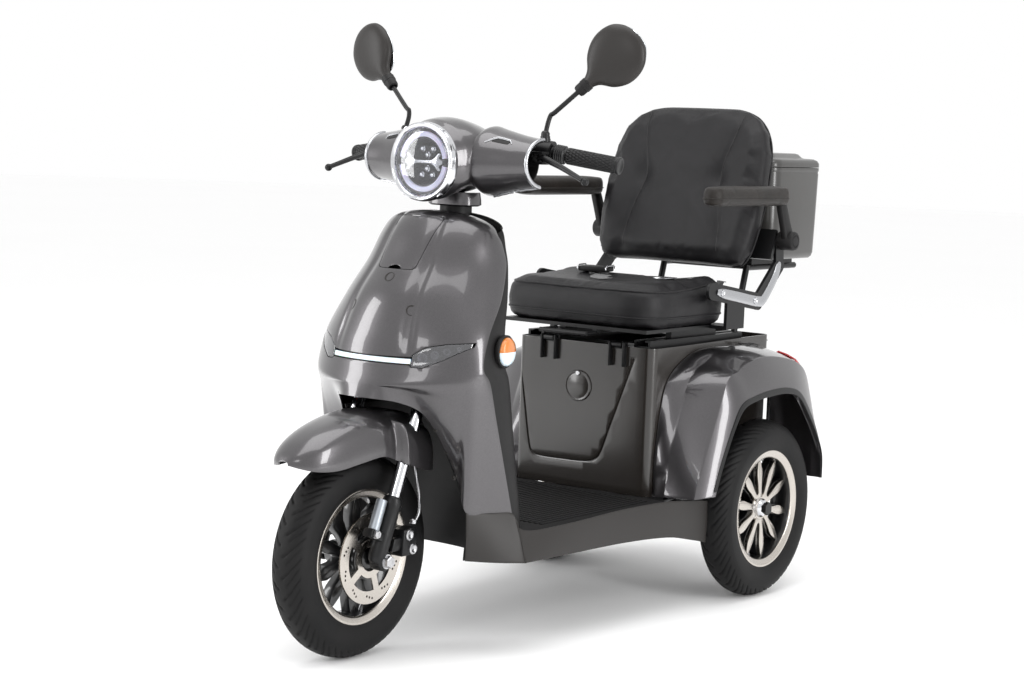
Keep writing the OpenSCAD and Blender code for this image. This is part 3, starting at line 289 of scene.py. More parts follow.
angles = [a * 2.0 for a in range(-45, 46)]
shield_rows = [[shield_row(row, t) for t in angles] for row in SHIELD]
shield_low, feet = shield_rows[-1], [foot_point(t) for t in angles]
shield_rows += [[a.lerp(b, k / 4) for a, b in zip(shield_low, feet)] for k in (1, 2, 3, 4)]
shield_rows = smoothed(shield_rows, 7)
# The soft fold between the flat middle and each flank
for row in shield_rows:
    for p in row:
        share = min(max((p.z - 600) / 60, 0), 1)
        fold_x = 92 - (p.z - 620) * 0.13
        p.y += 5.5 * share * math.exp(-((abs(p.x) - fold_x) / 10) ** 2)
shield = skin(shield_rows)
shield_tree = BVHTree.FromPolygons(shield[0], shield[1])


def on_shield(x, z, out=0):
    """The point of the shield at that x and z, raised by `out` along its face."""
    hit, normal, _, _ = shield_tree.ray_cast(Vector((x, -400, z)), Vector((0, 1, 0)))
    if normal.y > 0:
        normal = -normal
    return hit + normal * out


def rounded(corners, radius, steps=4):
    """An outline of (x, z) corners with round corners."""
    out, n = [], len(corners)
    for i in range(n):
        p = Vector(corners[i])
        a = (Vector(corners[i - 1]) - p).normalized() * radius
        b = (Vector(corners[(i + 1) % n]) - p).normalized() * radius
        for s in range(steps + 1):
            t = s / steps
            out.append(tuple(p + a * (1 - t) ** 2 + b * t ** 2))
    return out


# The flap's corners as (x, z)
LID = [(-47, 790), (47, 790), (57, 896), (-57, 896)]
# The light bar from its middle outwards: x, height of its middle, half its height
LIGHT = [(0, 611, 6), (99, 612, 7), (104, 613, 12), (125, 620, 20), (160, 633, 15), (198, 648, 3)]
# How far the cutters reach along the scooter
cut_y = (-760, -440)

hole_edge = [(x, z + h + 1.4) for x, z, h in LIGHT[::-1]] + [(-x, z + h + 1.4) for x, z, h in LIGHT[1:]]
hole_edge += [(-x, z - h - 1.4) for x, z, h in LIGHT[::-1]] + [(x, z - h - 1.4) for x, z, h in LIGHT[1:]]
lid_hole = cutter("lid_hole", prism(rounded([(x * 1.02, z + (z - 843) * 0.02) for x, z in LID], 9), *cut_y))
light_hole = cutter("light_hole", prism(hole_edge, *cut_y))
piece("shield_panel", shield, gunmetal, "chassis", ["apron"], at=FRONT, thick=4, bevel=1.0,
      cuts=[lid_hole, light_hole])


# ---- Flap, light strip and lamps ----
# The flap is cut from the same shape as the shield and hinges along its top. The strip is a frosted white
# light guide; each lamp is a smoked clear cover over four small bright reflectors in a black tray.

lid_shape = cutter("lid_shape", prism(rounded(LID, 9), *cut_y))
notch = cutter("lid_notch", prism([(17 * math.cos(a * math.pi / 8), 789 + 8 * math.sin(a * math.pi / 8))
                                   for a in range(16)], *cut_y))
piece("shield_flap", shield, gunmetal, "shield_lid", ["apron_lid"], at=FRONT, thick=3, bevel=1.4,
      cuts=[notch], within=lid_shape)


def patch(low_x, high_x, steps, low_z, high_z, rows, out):
    """A patch that follows the shield between two heights, which may depend on x."""
    grid = []
    for i in range(rows + 1):
        line = []
        for j in range(steps + 1):
            x = low_x + (high_x - low_x) * j / steps
            line.append(on_shield(x, high_z(x) + (low_z(x) - high_z(x)) * i / rows, out))
        grid.append(line)
    return skin(grid)


def light_at(x, part):
    """Height of the light bar's middle, or half its height, at x."""
    x = abs(x)
    for a, b in zip(LIGHT, LIGHT[1:]):
        if x <= b[0]:
            return a[part] + (b[part] - a[part]) * (x - a[0]) / (b[0] - a[0])
    return LIGHT[-1][part]


piece("flap_pocket", patch(-56, 56, 12, lambda x: 784, lambda x: 894, 12, -16), black_plastic, "chassis",
      at=FRONT, thick=2)
piece("light_bar_tray", patch(-196, 196, 64, lambda x: light_at(x, 1) - light_at(x, 2) - 3,
                              lambda x: light_at(x, 1) + light_at(x, 2) + 3, 6, -7), black_plastic, "chassis",
      ["front_light_bar"], at=FRONT, thick=2)

# Frosted acrylic light guide, unlit: milky white with a soft sheen
frosted = toned("frosted_acrylic", "#dfe0e4", "#f4f4f6", dict(kind="TexNoise", Scale=40, Detail=2),
                Roughness=0.3, IOR=1.49, Subsurface_Weight=0.3, Coat_Weight=0.5, Coat_Roughness=0.1)
piece("light_strip", patch(-101, 101, 40, lambda x: 606.5, lambda x: 616.5, 5, -0.6), frosted, "chassis",
      at=FRONT, thick=5, bevel=1.2)

# Smoked polycarbonate: clear, tinted, with a hard glossy coat
smoked = toned("smoked_polycarbonate", "#77777c", "#87878c", dict(kind="TexNoise", Scale=30, Detail=2),
               Roughness=0.04, IOR=1.58, Transmission_Weight=0.85, Coat_Weight=1.0, Coat_Roughness=0.02)

# Vacuum-plated plastic and chromed steel: a bright mirror with a little haze and fine wiping marks
chrome, tree, shader, place = finish_of("bright_chrome", Metallic=1.0)
wipe = add(tree, "TexNoise", {"Vector": place}, Scale=160, Detail=3)
rough = add(tree, "MapRange", {"Value": wipe.outputs["Fac"]}, To_Min=0.04, To_Max=0.14)
tint = add(tree, "ValToRGB", {"Fac": wipe.outputs["Fac"]})
tint.color_ramp.elements[0].color = linear("#c9cacd")
tint.color_ramp.elements[1].color = linear("#e2e3e6")
tree.links.new(tint.outputs[0], shader.inputs["Base Color"])
tree.links.new(rough.outputs[0], shader.inputs["Roughness"])


def flipped(shape):
    """A shape with its faces turned inside out."""
    return shape[0], [f[::-1] for f in shape[1]]


def lathe(profile, steps=48):
    """A turned shape round Z from (radius, height) points; a zero radius closes it."""
    rows = [[Vector((r * math.cos(a * 2 * math.pi / steps), r * math.sin(a * 2 * math.pi / steps), h))
             for a in range(steps)] for r, h in profile]
    return flipped(skin(rows, closed=True))


def moved(shape, matrix):
    """A shape with every point moved by a matrix."""
    return [matrix @ Vector(p) for p in shape[0]], shape[1]


def merged(*shapes):
    """Several shapes as one."""
    points, faces = [], []
    for some, others in shapes:
        faces += [[i + len(points) for i in face] for face in others]
        points += some
    return points, faces


def facing(place, direction, roll=0.0):
    """A matrix that stands a shape's Z along a direction at a place."""
    turn = Vector(direction).to_track_quat("Z", "Y").to_matrix().to_4x4()
    return Matrix.Translation(Vector(place)) @ turn @ Matrix.Rotation(roll, 4, "Z")


def both_sides(shape):
    """A shape and its mirror image across the middle of the scooter."""
    points, faces = shape
    n = len(points)
    other_points = [Vector((-p[0], p[1], p[2])) for p in points]
    other_faces = [[n + i for i in f[::-1]] for f in faces]
    return points + other_points, faces + other_faces


cups = []
for x, size in ((122, 10), (143, 8), (162, 7), (179, 4)):
    seat = on_shield(x, light_at(x, 1), -6)
    look = (on_shield(x, light_at(x, 1), 10) - seat).normalized()
    cup = lathe([(size, 4.5), (size - 1, 4.5), (size * 0.45, 1), (size * 0.2, 2.6), (0.01, 3)], 20)
    cups.append(moved(cup, facing(seat, look)))
piece("lamp_reflectors", both_sides(merged(*cups)), chrome, "chassis", at=FRONT)
cover = patch(103, 195, 24, lambda x: light_at(x, 1) - light_at(x, 2),
              lambda x: light_at(x, 1) + light_at(x, 2), 6, -0.3)
piece("lamp_covers", both_sides(cover), smoked, "chassis", at=FRONT, thick=1.5, bevel=0.5)

# Three round press-in caps hide the screws that hold the shield
caps = []
for x, z in ((0, 773), (-77, 711), (77, 711)):
    seat = on_shield(x, z, -0.2)
    look = (on_shield(x, z, 10) - seat).normalized()
    caps.append(moved(lathe([(11.6, 0), (11.4, 0.7), (10.4, 0.9), (9.8, 0.2), (4, -0.2), (0.01, -0.3)], 32),
                      facing(seat, look)))
# Satin dark ABS: grey-black, with a low sheen over a fine texture about 1 mm across
satin_cap = toned("satin_dark_abs", "#1f1d1c", "#292624", dict(kind="TexNoise", Scale=1 / 0.001, Detail=2),
                  relief=dict(Strength=0.2, Distance=0.0002), Roughness=0.42, IOR=1.53,
                  Specular_IOR_Level=0.3)
piece("shield_caps", merged(*caps), satin_cap, "chassis", at=FRONT)


# ---- Leg shield, wheel well and indicators ----
# Black moulded ABS behind the painted shield: the leg shield faces the rider and the liner rounds the front
# wheel. A round indicator, amber over clear, sits on a pod at each side.

# How far back the middle of the leg shield lies at each row of the shield
LEG_MID = [327, 321, 316, 310, 306, 298, 294, 298, 304]
leg_rows = [(mid, row[1] - 8, row[2] - 3.8, row[3] + 1.6, row[4], 0.5) for mid, row in zip(LEG_MID, SHIELD)]
low_edge, foot_edge = shield_row(SHIELD[-1], 90), Vector(FOOT[-1])
for k in (1, 2, 3):
    e = low_edge.lerp(foot_edge, k / 3)
    leg_rows.append((304 + 6 * k, e.z, e.x - 3.8, e.y + 1.6, e.z, 0.5))
leg_rows.append((326, 256, 221, 252, 256, 0.5))
leg_grid = smoothed([[shield_row(row, -t) for t in range(-90, 91, 3)] for row in leg_rows], 5)
piece("leg_shield_panel", skin(leg_grid), black_plastic, "chassis", ["leg_shield"], at=FRONT,
      thick=3, bevel=0.8)
# the shut line of the glove box, its door a little proud of the panel
leg_tree = BVHTree.FromPolygons(*skin(leg_grid))
door = []
for i in range(13):
    line = []
    for j in range(17):
        x, z = 84 - 168 * j / 16, 800 - 170 * i / 12
        hit = leg_tree.ray_cast(Vector((x, 600, z)), Vector((0, -1, 0)))[0]
        line.append(hit + Vector((0, 2.4, 0)))
    door.append(line)
piece("glove_box_door", skin(door), black_plastic, "chassis", at=FRONT, thick=2.2, bevel=1)

# The well's rows from its top down: z, half width, y at its sides and y at its middle
WELL = [(500, 103, 89, 244), (460, 118, 118, 249), (410, 134, 136, 252), (350, 158, 146, 252),
        (300, 180, 146, 252), (205, 180, 140, 252)]


def power(v, p):
    """The p-th power of v's size, with v's sign."""
    return math.copysign(abs(v) ** p, v)


well = [[Vector((x * power(math.sin(math.radians(t)), 0.8),
                 edge + (mid - edge) * power(math.cos(math.radians(t)), 0.5), z)) for t in range(-90, 91, 6)]
        for z, x, edge, mid in WELL]
piece("wheel_well", skin(smoothed(well, 4)), black_plastic, "chassis", ["wheel_well_liner"],
      at=FRONT, thick=2.5, bevel=0.6)
screws = [moved(lathe([(5, -1), (5, 1.2), (4, 2), (2.2, 2.2), (2, 0.8), (0.01, 0.8)], 16),
                facing(p, (0.25, -1, 0)))
          for p in ((124, 108, 470), (139, 129, 425), (152, 138, 372))]
piece("well_screws", both_sides(merged(*screws)), satin_cap, "chassis", at=FRONT)

indicator_at = Matrix.Translation((208, front_axle_y + 217, 631)) @ Matrix.Rotation(math.radians(8), 4, "Z") \
    @ Matrix.Rotation(math.radians(90), 4, "Y")
pod = moved(lathe([(26, -8), (34, -2), (34, 5), (32, 7), (30, 6), (30, 3), (0.01, 3)]), indicator_at)
piece("indicator_pods", both_sides(pod), black_plastic, "chassis", ["front_indicators"],
      bevel=0.6)
# The lens from its rim to its middle: radius and height
LENS = [(29.4, 4), (29.2, 9), (26, 13.5), (19, 16.5), (10, 18), (0.01, 18.4)]


def half_lens(first, last):
    """Half of the round indicator lens, between two angles in degrees."""
    rows = [[Vector((r * math.cos(math.radians(a)), r * math.sin(math.radians(a)), h))
             for a in range(first, last + 1, 6)] for r, h in LENS]
    return flipped(skin(rows))


# Amber acrylic: a deep glossy orange with level flutes about 2 mm apart
amber = toned("amber_acrylic", "#c2560c", "#e88a28", dict(kind="TexWave", Scale=150, bands_direction="Z"),
              relief=dict(Strength=0.4, Distance=0.001), Roughness=0.12, IOR=1.49, Subsurface_Weight=0.2,
              Coat_Weight=1.0, Coat_Roughness=0.03)
piece("indicator_amber", both_sides(moved(half_lens(90, 270), indicator_at)), amber, "chassis",
      thick=1.5)
piece("indicator_clear", both_sides(moved(half_lens(270, 450), indicator_at)), frosted, "chassis",
      thick=1.5)


# ---- Front mudguard ----
# Injection-moulded ABS in the same metallic paint, about 3 mm thick. Its rear part steps out on each side
# to cover the fork leg, and it is screwed to the sprung part of the fork.

# Rows from the rear to the tip: y behind the axle, half width, top height, edge height
BILL = [(150, 96, 488, 404), (126, 104, 496, 392), (90, 105, 503, 394), (52, 104, 507, 402),
        (38, 84, 508, 410),
        (0, 79, 509, 420), (-60, 76, 500, 413), (-120, 70, 483, 404), (-165, 58, 462, 404),
        (-195, 38, 440, 410), (-209, 12, 424, 416)]


def step(v, low, high):
    """0 below low, 1 above high and a smooth slope between them."""
    t = min(max((v - low) / (high - low), 0), 1)
    return t * t * (3 - 2 * t)


bill_rows = []
for y, w, z_top, z_edge in BILL:
    wide = 79 if y > 0 else w
    bill_rows.append([Vector((wide * power(math.sin(math.radians(t)), 0.8), y,
                              z_edge + (z_top - z_edge) * math.cos(math.radians(t)) ** 0.62))
                      for t in range(-90, 91, 3)])
bill_rows = smoothed(bill_rows, 8)
for row in bill_rows:
    for j, p in enumerate(row):
        side = step(abs(j * 3 - 90), 38, 50)
        p.x += math.copysign(24, p.x) * side * step(p.y, 40, 50) * (1 - step(p.y, 128, 150))
        p.z -= 8 * side * step(p.y, 60, 120)
piece("front_fender", skin(bill_rows), gunmetal, "steering", ["front_mudguard"], at=FRONT, thick=3,
      bevel=1.0)


# ---- Fork ----
# Hard-chromed steel stanchions slide in black cast-aluminium lowers. The left lower carries a small grey
# cylinder on a lug, held by a hexagon bolt, and the caliper hangs behind it.

rake = 21.8
FORK = Matrix.Translation((0, front_axle_y, axle_z)) @ Matrix.Rotation(math.radians(-rake), 4, "X")
leg_x = 80
leg_lead = 14


def sweep(points, radius, sides=16, closed=False):
    """A round bar along points; radius is one number or one for each point."""
    pts = [Vector(p) for p in points]
    radii = radius if isinstance(radius, (list, tuple)) else [radius] * len(pts)
    turn = None
    rows = []
    for i, p in enumerate(pts):
        before = pts[i - 1] if i or closed else p
        after = pts[(i + 1) % len(pts)] if i < len(pts) - 1 or closed else p
        along = (after - before).normalized()
        if turn is None:
            turn = along.orthogonal().normalized()
        turn = (turn - along * turn.dot(along)).normalized()
        other = along.cross(turn)
        rows.append([p + (turn * math.cos(a * 2 * math.pi / sides) + other
                          * math.sin(a * 2 * math.pi / sides))
                     * radii[i] for a in range(sides)])
    points, faces = skin(rows + ([rows[0]] if closed else []), closed=True)
    faces = [f[::-1] for f in faces]
    if not closed:
        faces += [list(range(sides))[::-1], [len(points) - sides + a for a in range(sides)]]
    return points, faces


def block(low, high, bend=0):
    """A rectangular solid between two corners, its upper end shifted by bend along Y."""
    (x1, y1, z1), (x2, y2, z2) = low, high
    points = [Vector(p) for p in ((x1, y1, z1), (x2, y1, z1), (x2, y2, z1), (x1, y2, z1),
                                  (x1, y1 + bend, z2), (x2, y1 + bend, z2), (x2, y2 + bend, z2),
                                  (x1, y2 + bend, z2))]
    return points, [[3, 2, 1, 0], [4, 5, 6, 7], [0, 1, 5, 4], [1, 2, 6, 5], [2, 3, 7, 6], [3, 0, 4, 7]]


ALONG_X = Matrix.Rotation(math.radians(90), 4, "Y")

stanchion = moved(lathe([(0.01, 112), (13.5, 112), (13.5, 396), (0.01, 396)], 40),
                  Matrix.Translation((leg_x, -leg_lead, 0)))
stem = moved(lathe([(0.01, 366), (15, 366), (15, 868), (0.01, 868)], 40), Matrix.Translation((0, 11, 0)))
clamps = [moved(lathe([(0.01, 366), (19.5, 366), (19.5, 396), (0.01, 396)]),
                Matrix.Translation((x, -leg_lead, 0)))
          for x in (leg_x, -leg_x)]
crown = merged(block((-72, -30, 366), (72, 26, 396)), *clamps)
piece("stanchions", merged(both_sides(stanchion), stem), chrome, "steering", ["fork_crown"],
      at=FORK)

# Cast aluminium in a satin black powder coat, with the casting's skin about 1.5 mm across
black_casting = toned("black_powder_coat", "#0b0b0c", "#151516",
                      dict(kind="TexNoise", Scale=1 / 0.0015, Detail=2),
                      relief=dict(Strength=0.25, Distance=0.0003), Roughness=0.36, IOR=1.5,
                      Specular_IOR_Level=0.3)
piece("fork_yoke", crown, black_casting, "steering", at=FORK, bevel=3)

lower = moved(lathe([(0.01, -10), (12, -10), (16, -6), (18.5, 4), (19, 60), (19, 104), (20.5, 108),
                     (20.5, 122),
                     (18.5, 128), (14, 130), (14, 112)], 40), Matrix.Translation((leg_x, -leg_lead, 0)))
clamp = moved(lathe([(0.01, -17), (17, -17), (20.5, -13), (20.5, 13), (17, 17), (0.01, 17)], 40),
              Matrix.Translation((leg_x, 0, 0)) @ ALONG_X)
lug = block((leg_x - 8, -66, 34), (leg_x + 14, -24, 52))
rib = block((leg_x - 5, -4, 16), (leg_x + 5, 12, 96))
piece("fork_lowers", merged(both_sides(merged(lower, clamp, rib)), lug), black_casting, "fork_lower",
      ["fork_sliders"], at=FORK, bevel=1.6)

# Anodised aluminium, light grey and matt, of a small oil cylinder
anodised = toned("grey_anodised_aluminium", "#93999f", "#a9aeb4",
                 dict(kind="TexNoise", Scale=1 / 0.002, Detail=2), Metallic=0.85, Roughness=0.42)
oil_cylinder = moved(lathe([(0.01, 50), (10, 50), (11.5, 52), (11.5, 112), (10.5, 114), (0.01, 114)], 32),
                     Matrix.Translation((leg_x + 4, -leg_lead - 38, 0)))
piece("oil_cylinder", oil_cylinder, anodised, "fork_lower", at=FORK, split=30)

# Zinc-plated steel of nuts, bolts and fittings: bright, with fine turning marks
zinc = toned("zinc_plated_steel", "#a8a8aa", "#cfcfd1", dict(kind="TexNoise", Scale=1 / 0.001, Detail=2),
             relief=dict(Strength=0.15, Distance=0.0002), Metallic=1.0, Roughness=0.28)


def hexagon(across, thickness, washer=0):
    """A hexagon nut round Z with a chamfered top, on a washer."""
    shape = lathe([(0.01, 0), (across / 1.732, 0), (across / 1.732, thickness * 0.8), (across / 2, thickness),
                   (across * 0.3, thickness), (across * 0.28, thickness - 1), (0.01, thickness - 0.6)], 6)
    if washer:
        shape = merged(shape, lathe([(0.01, -1.5), (washer, -1.5), (washer, 0), (0.01, 0)], 24))
    return shape


lug_bolt = moved(hexagon(15, 8, 9), FORK @ Matrix.Translation((leg_x + 14, -54, 43)) @ ALONG_X)
axle_nuts = [moved(hexagon(22, 11, 15), Matrix.Translation((s * (leg_x + 18), front_axle_y, axle_z))
                   @ Matrix.Rotation(math.radians(90 * s), 4, "Y")) for s in (-1, 1)]
axle_bar = moved(lathe([(0.01, -106), (6, -106), (7.5, -104), (7.5, 104), (6, 106), (0.01, 106)], 24),
                 Matrix.Translation((0, front_axle_y, axle_z)) @ ALONG_X)
piece("fork_bolts", merged(lug_bolt, axle_bar, *axle_nuts), zinc, "fork_lower", split=25)

# The caliper: a black casting with two dished plated caps, and a braided hose that climbs behind the leg
calliper = merged(block((58, -632, 212), (97, -588, 268), 6), block((38, -618, 222), (60, -586, 266), 4),
                  block((76, -660, 224), (92, -628, 252), 10))
piece("brake_caliper", calliper, black_casting, "fork_lower", ["front_caliper"], bevel=5)
caliper_caps = [moved(lathe([(11.5, -4), (11.5, 3), (10, 4.6), (8, 4.8), (6.5, 3.4), (4.5, 2.4), (0.01, 2.2)],
                            28),
                      Matrix.Translation((97, y, z)) @ ALONG_X) for y, z in ((-612, 256), (-600, 226))]
banjo = moved(hexagon(12, 6, 8), Matrix.Translation((84, -584, 276)))
piece("caliper_caps", merged(banjo, *caliper_caps), zinc, "fork_lower", split=30)
hose = through([(84, -584, 276), (85, -574, 284), (84, -566, 300), (82, -566, 330), (80, -572, 362),
                (77, -578, 392)], 8)
# Braided steel over a rubber hose: bright wires with dark gaps, drawn coarse enough to show
braid = toned("braided_steel_hose", "#5b5b5d", "#c3c3c5", dict(kind="TexWave", Scale=110, Distortion=1.5),
              relief=dict(Strength=0.5, Distance=0.0005), Metallic=0.9, Roughness=0.35)
piece("brake_hose", sweep(hose, 3), braid, "fork_lower")


# ---- Tyres ----
# Scooter tyres of the 3.00-10 pattern: black rubber with curved grooves that meet in a V, and smooth side
# walls with a few moulded rings.

tyre_r = 210
tyre_w = 84
tyre_steps = 440
profile = []
for a in range(-84, 85, 3):
    s, c = math.sin(math.radians(a)), math.cos(math.radians(a))
    profile.append((tyre_w / 2 * power(s, 0.85), tyre_r - 38 + 38 * c))
wall_in = [(30, 131), (33, 137), (37.5, 146), (41, 158)]
profile = [(-x, r) for x, r in wall_in] + profile + wall_in[::-1]


def tread(x, around):
    """How deep the tread is cut at x across and `around` millimetres round the tyre."""
    w = abs(x)
    if w > 39:
        return 0
    pitch = 2 * math.pi * tyre_r / 30
    shift = 0.35 * w + 0.026 * w * w + (pitch / 2 if x < 0 else 0)
    off = abs(((around - shift) / pitch) % 1 - 0.5) * pitch
    long_cut = 4.2 * max(0, 1 - (off / 2.9) ** 2) * step(w, 2, 6) * (1 - step(w, 35, 39))
    off2 = abs(((around - shift * 1.05) / pitch + 0.5) % 1 - 0.5) * pitch
    short_cut = 3.4 * max(0, 1 - (off2 / 2.4) ** 2) * step(w, 13, 17) * (1 - step(w, 33, 38))
    return max(long_cut, short_cut)


tyre_rows = []
for x, r in profile:
    row = []
    for k in range(tyre_steps):
        a = 2 * math.pi * k / tyre_steps
        ring = 0.7 * (abs(abs(r - 163) - 0.5) < 1.2) + 0.6 * (abs(r - 145) < 1)
        deep = r - (tread(x, a * tyre_r) if r > 172 else -ring)
        row.append(Vector((x, -deep * math.cos(a), deep * math.sin(a))))
    tyre_rows.append(row)
tyre_shape = skin(tyre_rows, closed=True)

# Vulcanised rubber: very dark, matt, a little greyer where it is dusty, with a fine pebble about 1 mm
# across
rubber = toned("tyre_rubber", "#0b0b0c", "#191818", dict(kind="TexNoise", Scale=9, Detail=6),
               grain=dict(kind="TexNoise", Scale=1 / 0.001, Detail=2), spread=(0.35, 0.8),
               relief=dict(Strength=0.25, Distance=0.0003), Roughness=0.6, IOR=1.52, Specular_IOR_Level=0.2)
rear_track = 577
WHEELS = {"front": (0, front_axle_y, "front_wheel"),
          "rear_left": (rear_track / 2, rear_axle_y, "rear_wheel_left"),
          "rear_right": (-rear_track / 2, rear_axle_y, "rear_wheel_right")}
for which, (x, y, body) in WHEELS.items():
    piece("tyre_" + which, tyre_shape, rubber, body,
          ["front_tyre" if which == "front" else which.replace("rear", "rear_tyre")],
          at=Matrix.Translation((x, y, axle_z)), split=0, flip=True)


# ---- Wheels ----
# Die-cast aluminium rims. The front one is black with a turned bright lip; the rear ones have ten pointed
# blades in pairs, faced bright on the outside, and a chromed hub cap.

# Turned aluminium: warm silver, with rings from the lathe drawn 1.2 mm apart so that they show
turned = toned("turned_aluminium", "#b3aca4", "#cdc8c1",
               dict(kind="TexWave", Scale=260, wave_type="RINGS", rings_direction="X"),
               relief=dict(Strength=0.1, Distance=0.0001), Metallic=1.0, Roughness=0.24, Coat_Weight=0.3)
# Gloss black paint on castings
black_paint = toned("black_wheel_paint", "#080809", "#101011", dict(kind="TexNoise", Scale=60, Detail=3),
                    Roughness=0.3, IOR=1.5, Coat_Weight=0.6, Coat_Roughness=0.08)

# Along a blade: radius, angle from the middle of its pair, half width
BLADE = [(26, 17, 5), (40, 17, 4), (60, 17.5, 5), (80, 18, 7), (92, 18, 7), (108, 17.5, 4.5), (125, 17, 1.2)]


def petal(widen, inner, thick_low, thick_high):
    """One pair of blades as an outline of radius and angle, between two places along the axle."""
    left = [(r, -(a + math.degrees(w * widen / r))) for r, a, w in BLADE]
    left_in = [(r, -(a - math.degrees(w * widen / r))) for r, a, w in BLADE if r > inner]
    right_in = [(r, -a) for r, a in left_in]
    right = [(r, -a) for r, a in left]
    loop = left + left_in[::-1] + [(inner, 0)] + right_in + right[::-1]
    n = len(loop)
    flat = [(r * math.sin(math.radians(a)), r * math.cos(math.radians(a))) for r, a in loop]
    points = [Vector((x, u, v)) for x in (thick_low, thick_high) for u, v in flat]
    faces = [list(range(n)), list(range(n, 2 * n))[::-1]]
    faces += [[i, n + i, n + (i + 1) % n, (i + 1) % n] for i in range(n)]
    return points, faces


def around_axle(shape, count, offset=0):
    """Copies of a shape spaced round the axle."""
    return merged(*[moved(shape, Matrix.Rotation(2 * math.pi * k / count + offset, 4, "X"))
                    for k in range(count)])


# Sections of the rim and of its lip: x and radius
barrel = [(27, 122), (29, 124), (33, 138), (31, 140), (28, 131), (27, 130), (-27, 130), (-28, 131),
          (-31, 140), (-33, 138), (-29, 124), (-27, 122), (-16, 118), (16, 118), (27, 122)]
barrel_shape = skin([[Vector((x, r * math.cos(a * math.pi / 48), r * math.sin(a * math.pi / 48)))
                      for a in range(96)]
                     for x, r in barrel], closed=True)
lip = [(26, 121.5), (28.4, 123), (29.8, 126), (32.4, 134), (33.8, 138), (33, 140.2), (31, 140.4)]


def lip_ring(side):
    """The turned lip of a rim, on its outer side for 1 and its inner side for -1."""
    rows = [[Vector((side * x, r * math.cos(a * math.pi / 48), r * math.sin(a * math.pi / 48)))
             for a in range(96)]
            for x, r in lip]
    ring = skin(rows, closed=True)
    return ring if side < 0 else flipped(ring)


def mirror(shape):
    """A shape's mirror image across the middle of the scooter."""
    return flipped(([Vector((-p[0], p[1], p[2])) for p in shape[0]], shape[1]))


hub = moved(lathe([(0.01, -56), (14, -56), (24, -50), (26, -20), (30, -12), (30, 14), (24, 18), (16, 20),
                   (0.01, 20)]), ALONG_X)
front_spokes = around_axle(petal(1.9, 44, -13, 12), 5, 0.3)
carrier = moved(lathe([(20, 40), (44, 40), (44, 49), (20, 49)], 40), ALONG_X)
AT_FRONT = Matrix.Translation((0, front_axle_y, axle_z))
piece("front_wheel_casting", merged(barrel_shape, front_spokes, hub, mirror(hub), carrier), black_paint,
      "front_wheel", ["front_rim"], at=AT_FRONT, bevel=1.5)
piece("front_wheel_lip", merged(lip_ring(1), lip_ring(-1)), turned, "front_wheel",
      at=AT_FRONT, split=0, thick=0.5)
valve = sweep([(10, 0, 121), (13, 0, 112), (18, 0, 104), (26, 0, 98)], [5, 4, 3.4, 3.2], 12)
piece("front_valve", moved(valve, Matrix.Rotation(math.radians(192), 4, "X")), zinc, "front_wheel",
      at=AT_FRONT)

rear_blades = around_axle(petal(1.55, 36, 6, 17), 5, 0.45)
rear_backs = around_axle(petal(1.75, 40, -14, 6.5), 5, 0.45)
star = moved(lathe([(34, 4), (34, 12), (31, 16), (24, 17.5), (22, 16), (0.01, 16)], 40), ALONG_X)
cap = merged(moved(lathe([(22, 15), (22, 20), (19, 25), (13, 28), (12, 26), (6, 26.5), (0.01, 27)], 40),
                   ALONG_X),
             moved(hexagon(17, 8), Matrix.Translation((26, 0, 0)) @ ALONG_X))
drum = moved(lathe([(30, -52), (74, -50), (78, -44), (78, -26), (72, -22), (30, -18)], 64), ALONG_X)
for which in ("rear_left", "rear_right"):
    x, y, body = WHEELS[which]
    turn = (lambda s: s) if x > 0 else mirror
    place = Matrix.Translation((x, y, axle_z))
    piece("casting_" + which, turn(merged(barrel_shape, rear_backs, drum)), black_paint, body,
          [which.replace("rear", "rear_rim")], at=place, bevel=1.2)
    piece("blades_" + which, turn(merged(rear_blades, star)), turned, body, at=place,
          bevel=1.0)
    piece("lips_" + which, turn(merged(lip_ring(1), lip_ring(-1))), turned, body, at=place,
          split=0, thick=0.5)
    piece("hub_cap_" + which, turn(cap), chrome, body, at=place, split=30)


# ---- Headlight housing ----
# Two ABS mouldings in the shield's paint: a round housing behind the lamp, and a wing to each side that
# covers the bar and its switch pods. Satin-chromed trims edge the wings, and black ABS closes them
# behind.

lamp_z = 1008
nacelle_w = 100
# Rings of the housing: y, z of the middle, share of its width, half height
HOUSING = [(194, 1008, 0.775, 77), (212, 1011, 0.85, 81), (229, 1014, 0.92, 84), (269, 1022, 1, 80),
           (319, 1020, 0.98, 74), (369, 1020, 0.87, 58), (417, 1027, 0.7, 41)]
house_rows = [[Vector((share * nacelle_w * math.cos(math.radians(a)), y,
                       z + high * math.sin(math.radians(a))))
               for a in range(0, 360, 5)] for y, z, share, high in HOUSING]
piece("lamp_housing", skin(smoothed(house_rows, 8), closed=True), gunmetal, "steering",
      ["headlight_nacelle"], at=FRONT, thick=3, bevel=0.8)

# Wing rings: x, half depth, half height
WING = [(58, 74, 52), (78, 84, 68), (94.6, 87, 74), (125, 81, 67), (170, 69, 57), (214, 61, 50)]
wing_path = through(WING, 10)


def wing_at(x, a, out=0):
    """A point of the left wing at x and an angle in degrees, 90 at its top and 180 at its front."""
    ring = min(wing_path, key=lambda p: abs(p.x - x))
    turn = math.radians(a)
    return Vector((x, 320 + (ring.y + out) * math.cos(turn), lamp_z + 5 + (ring.z + out) * math.sin(turn)))


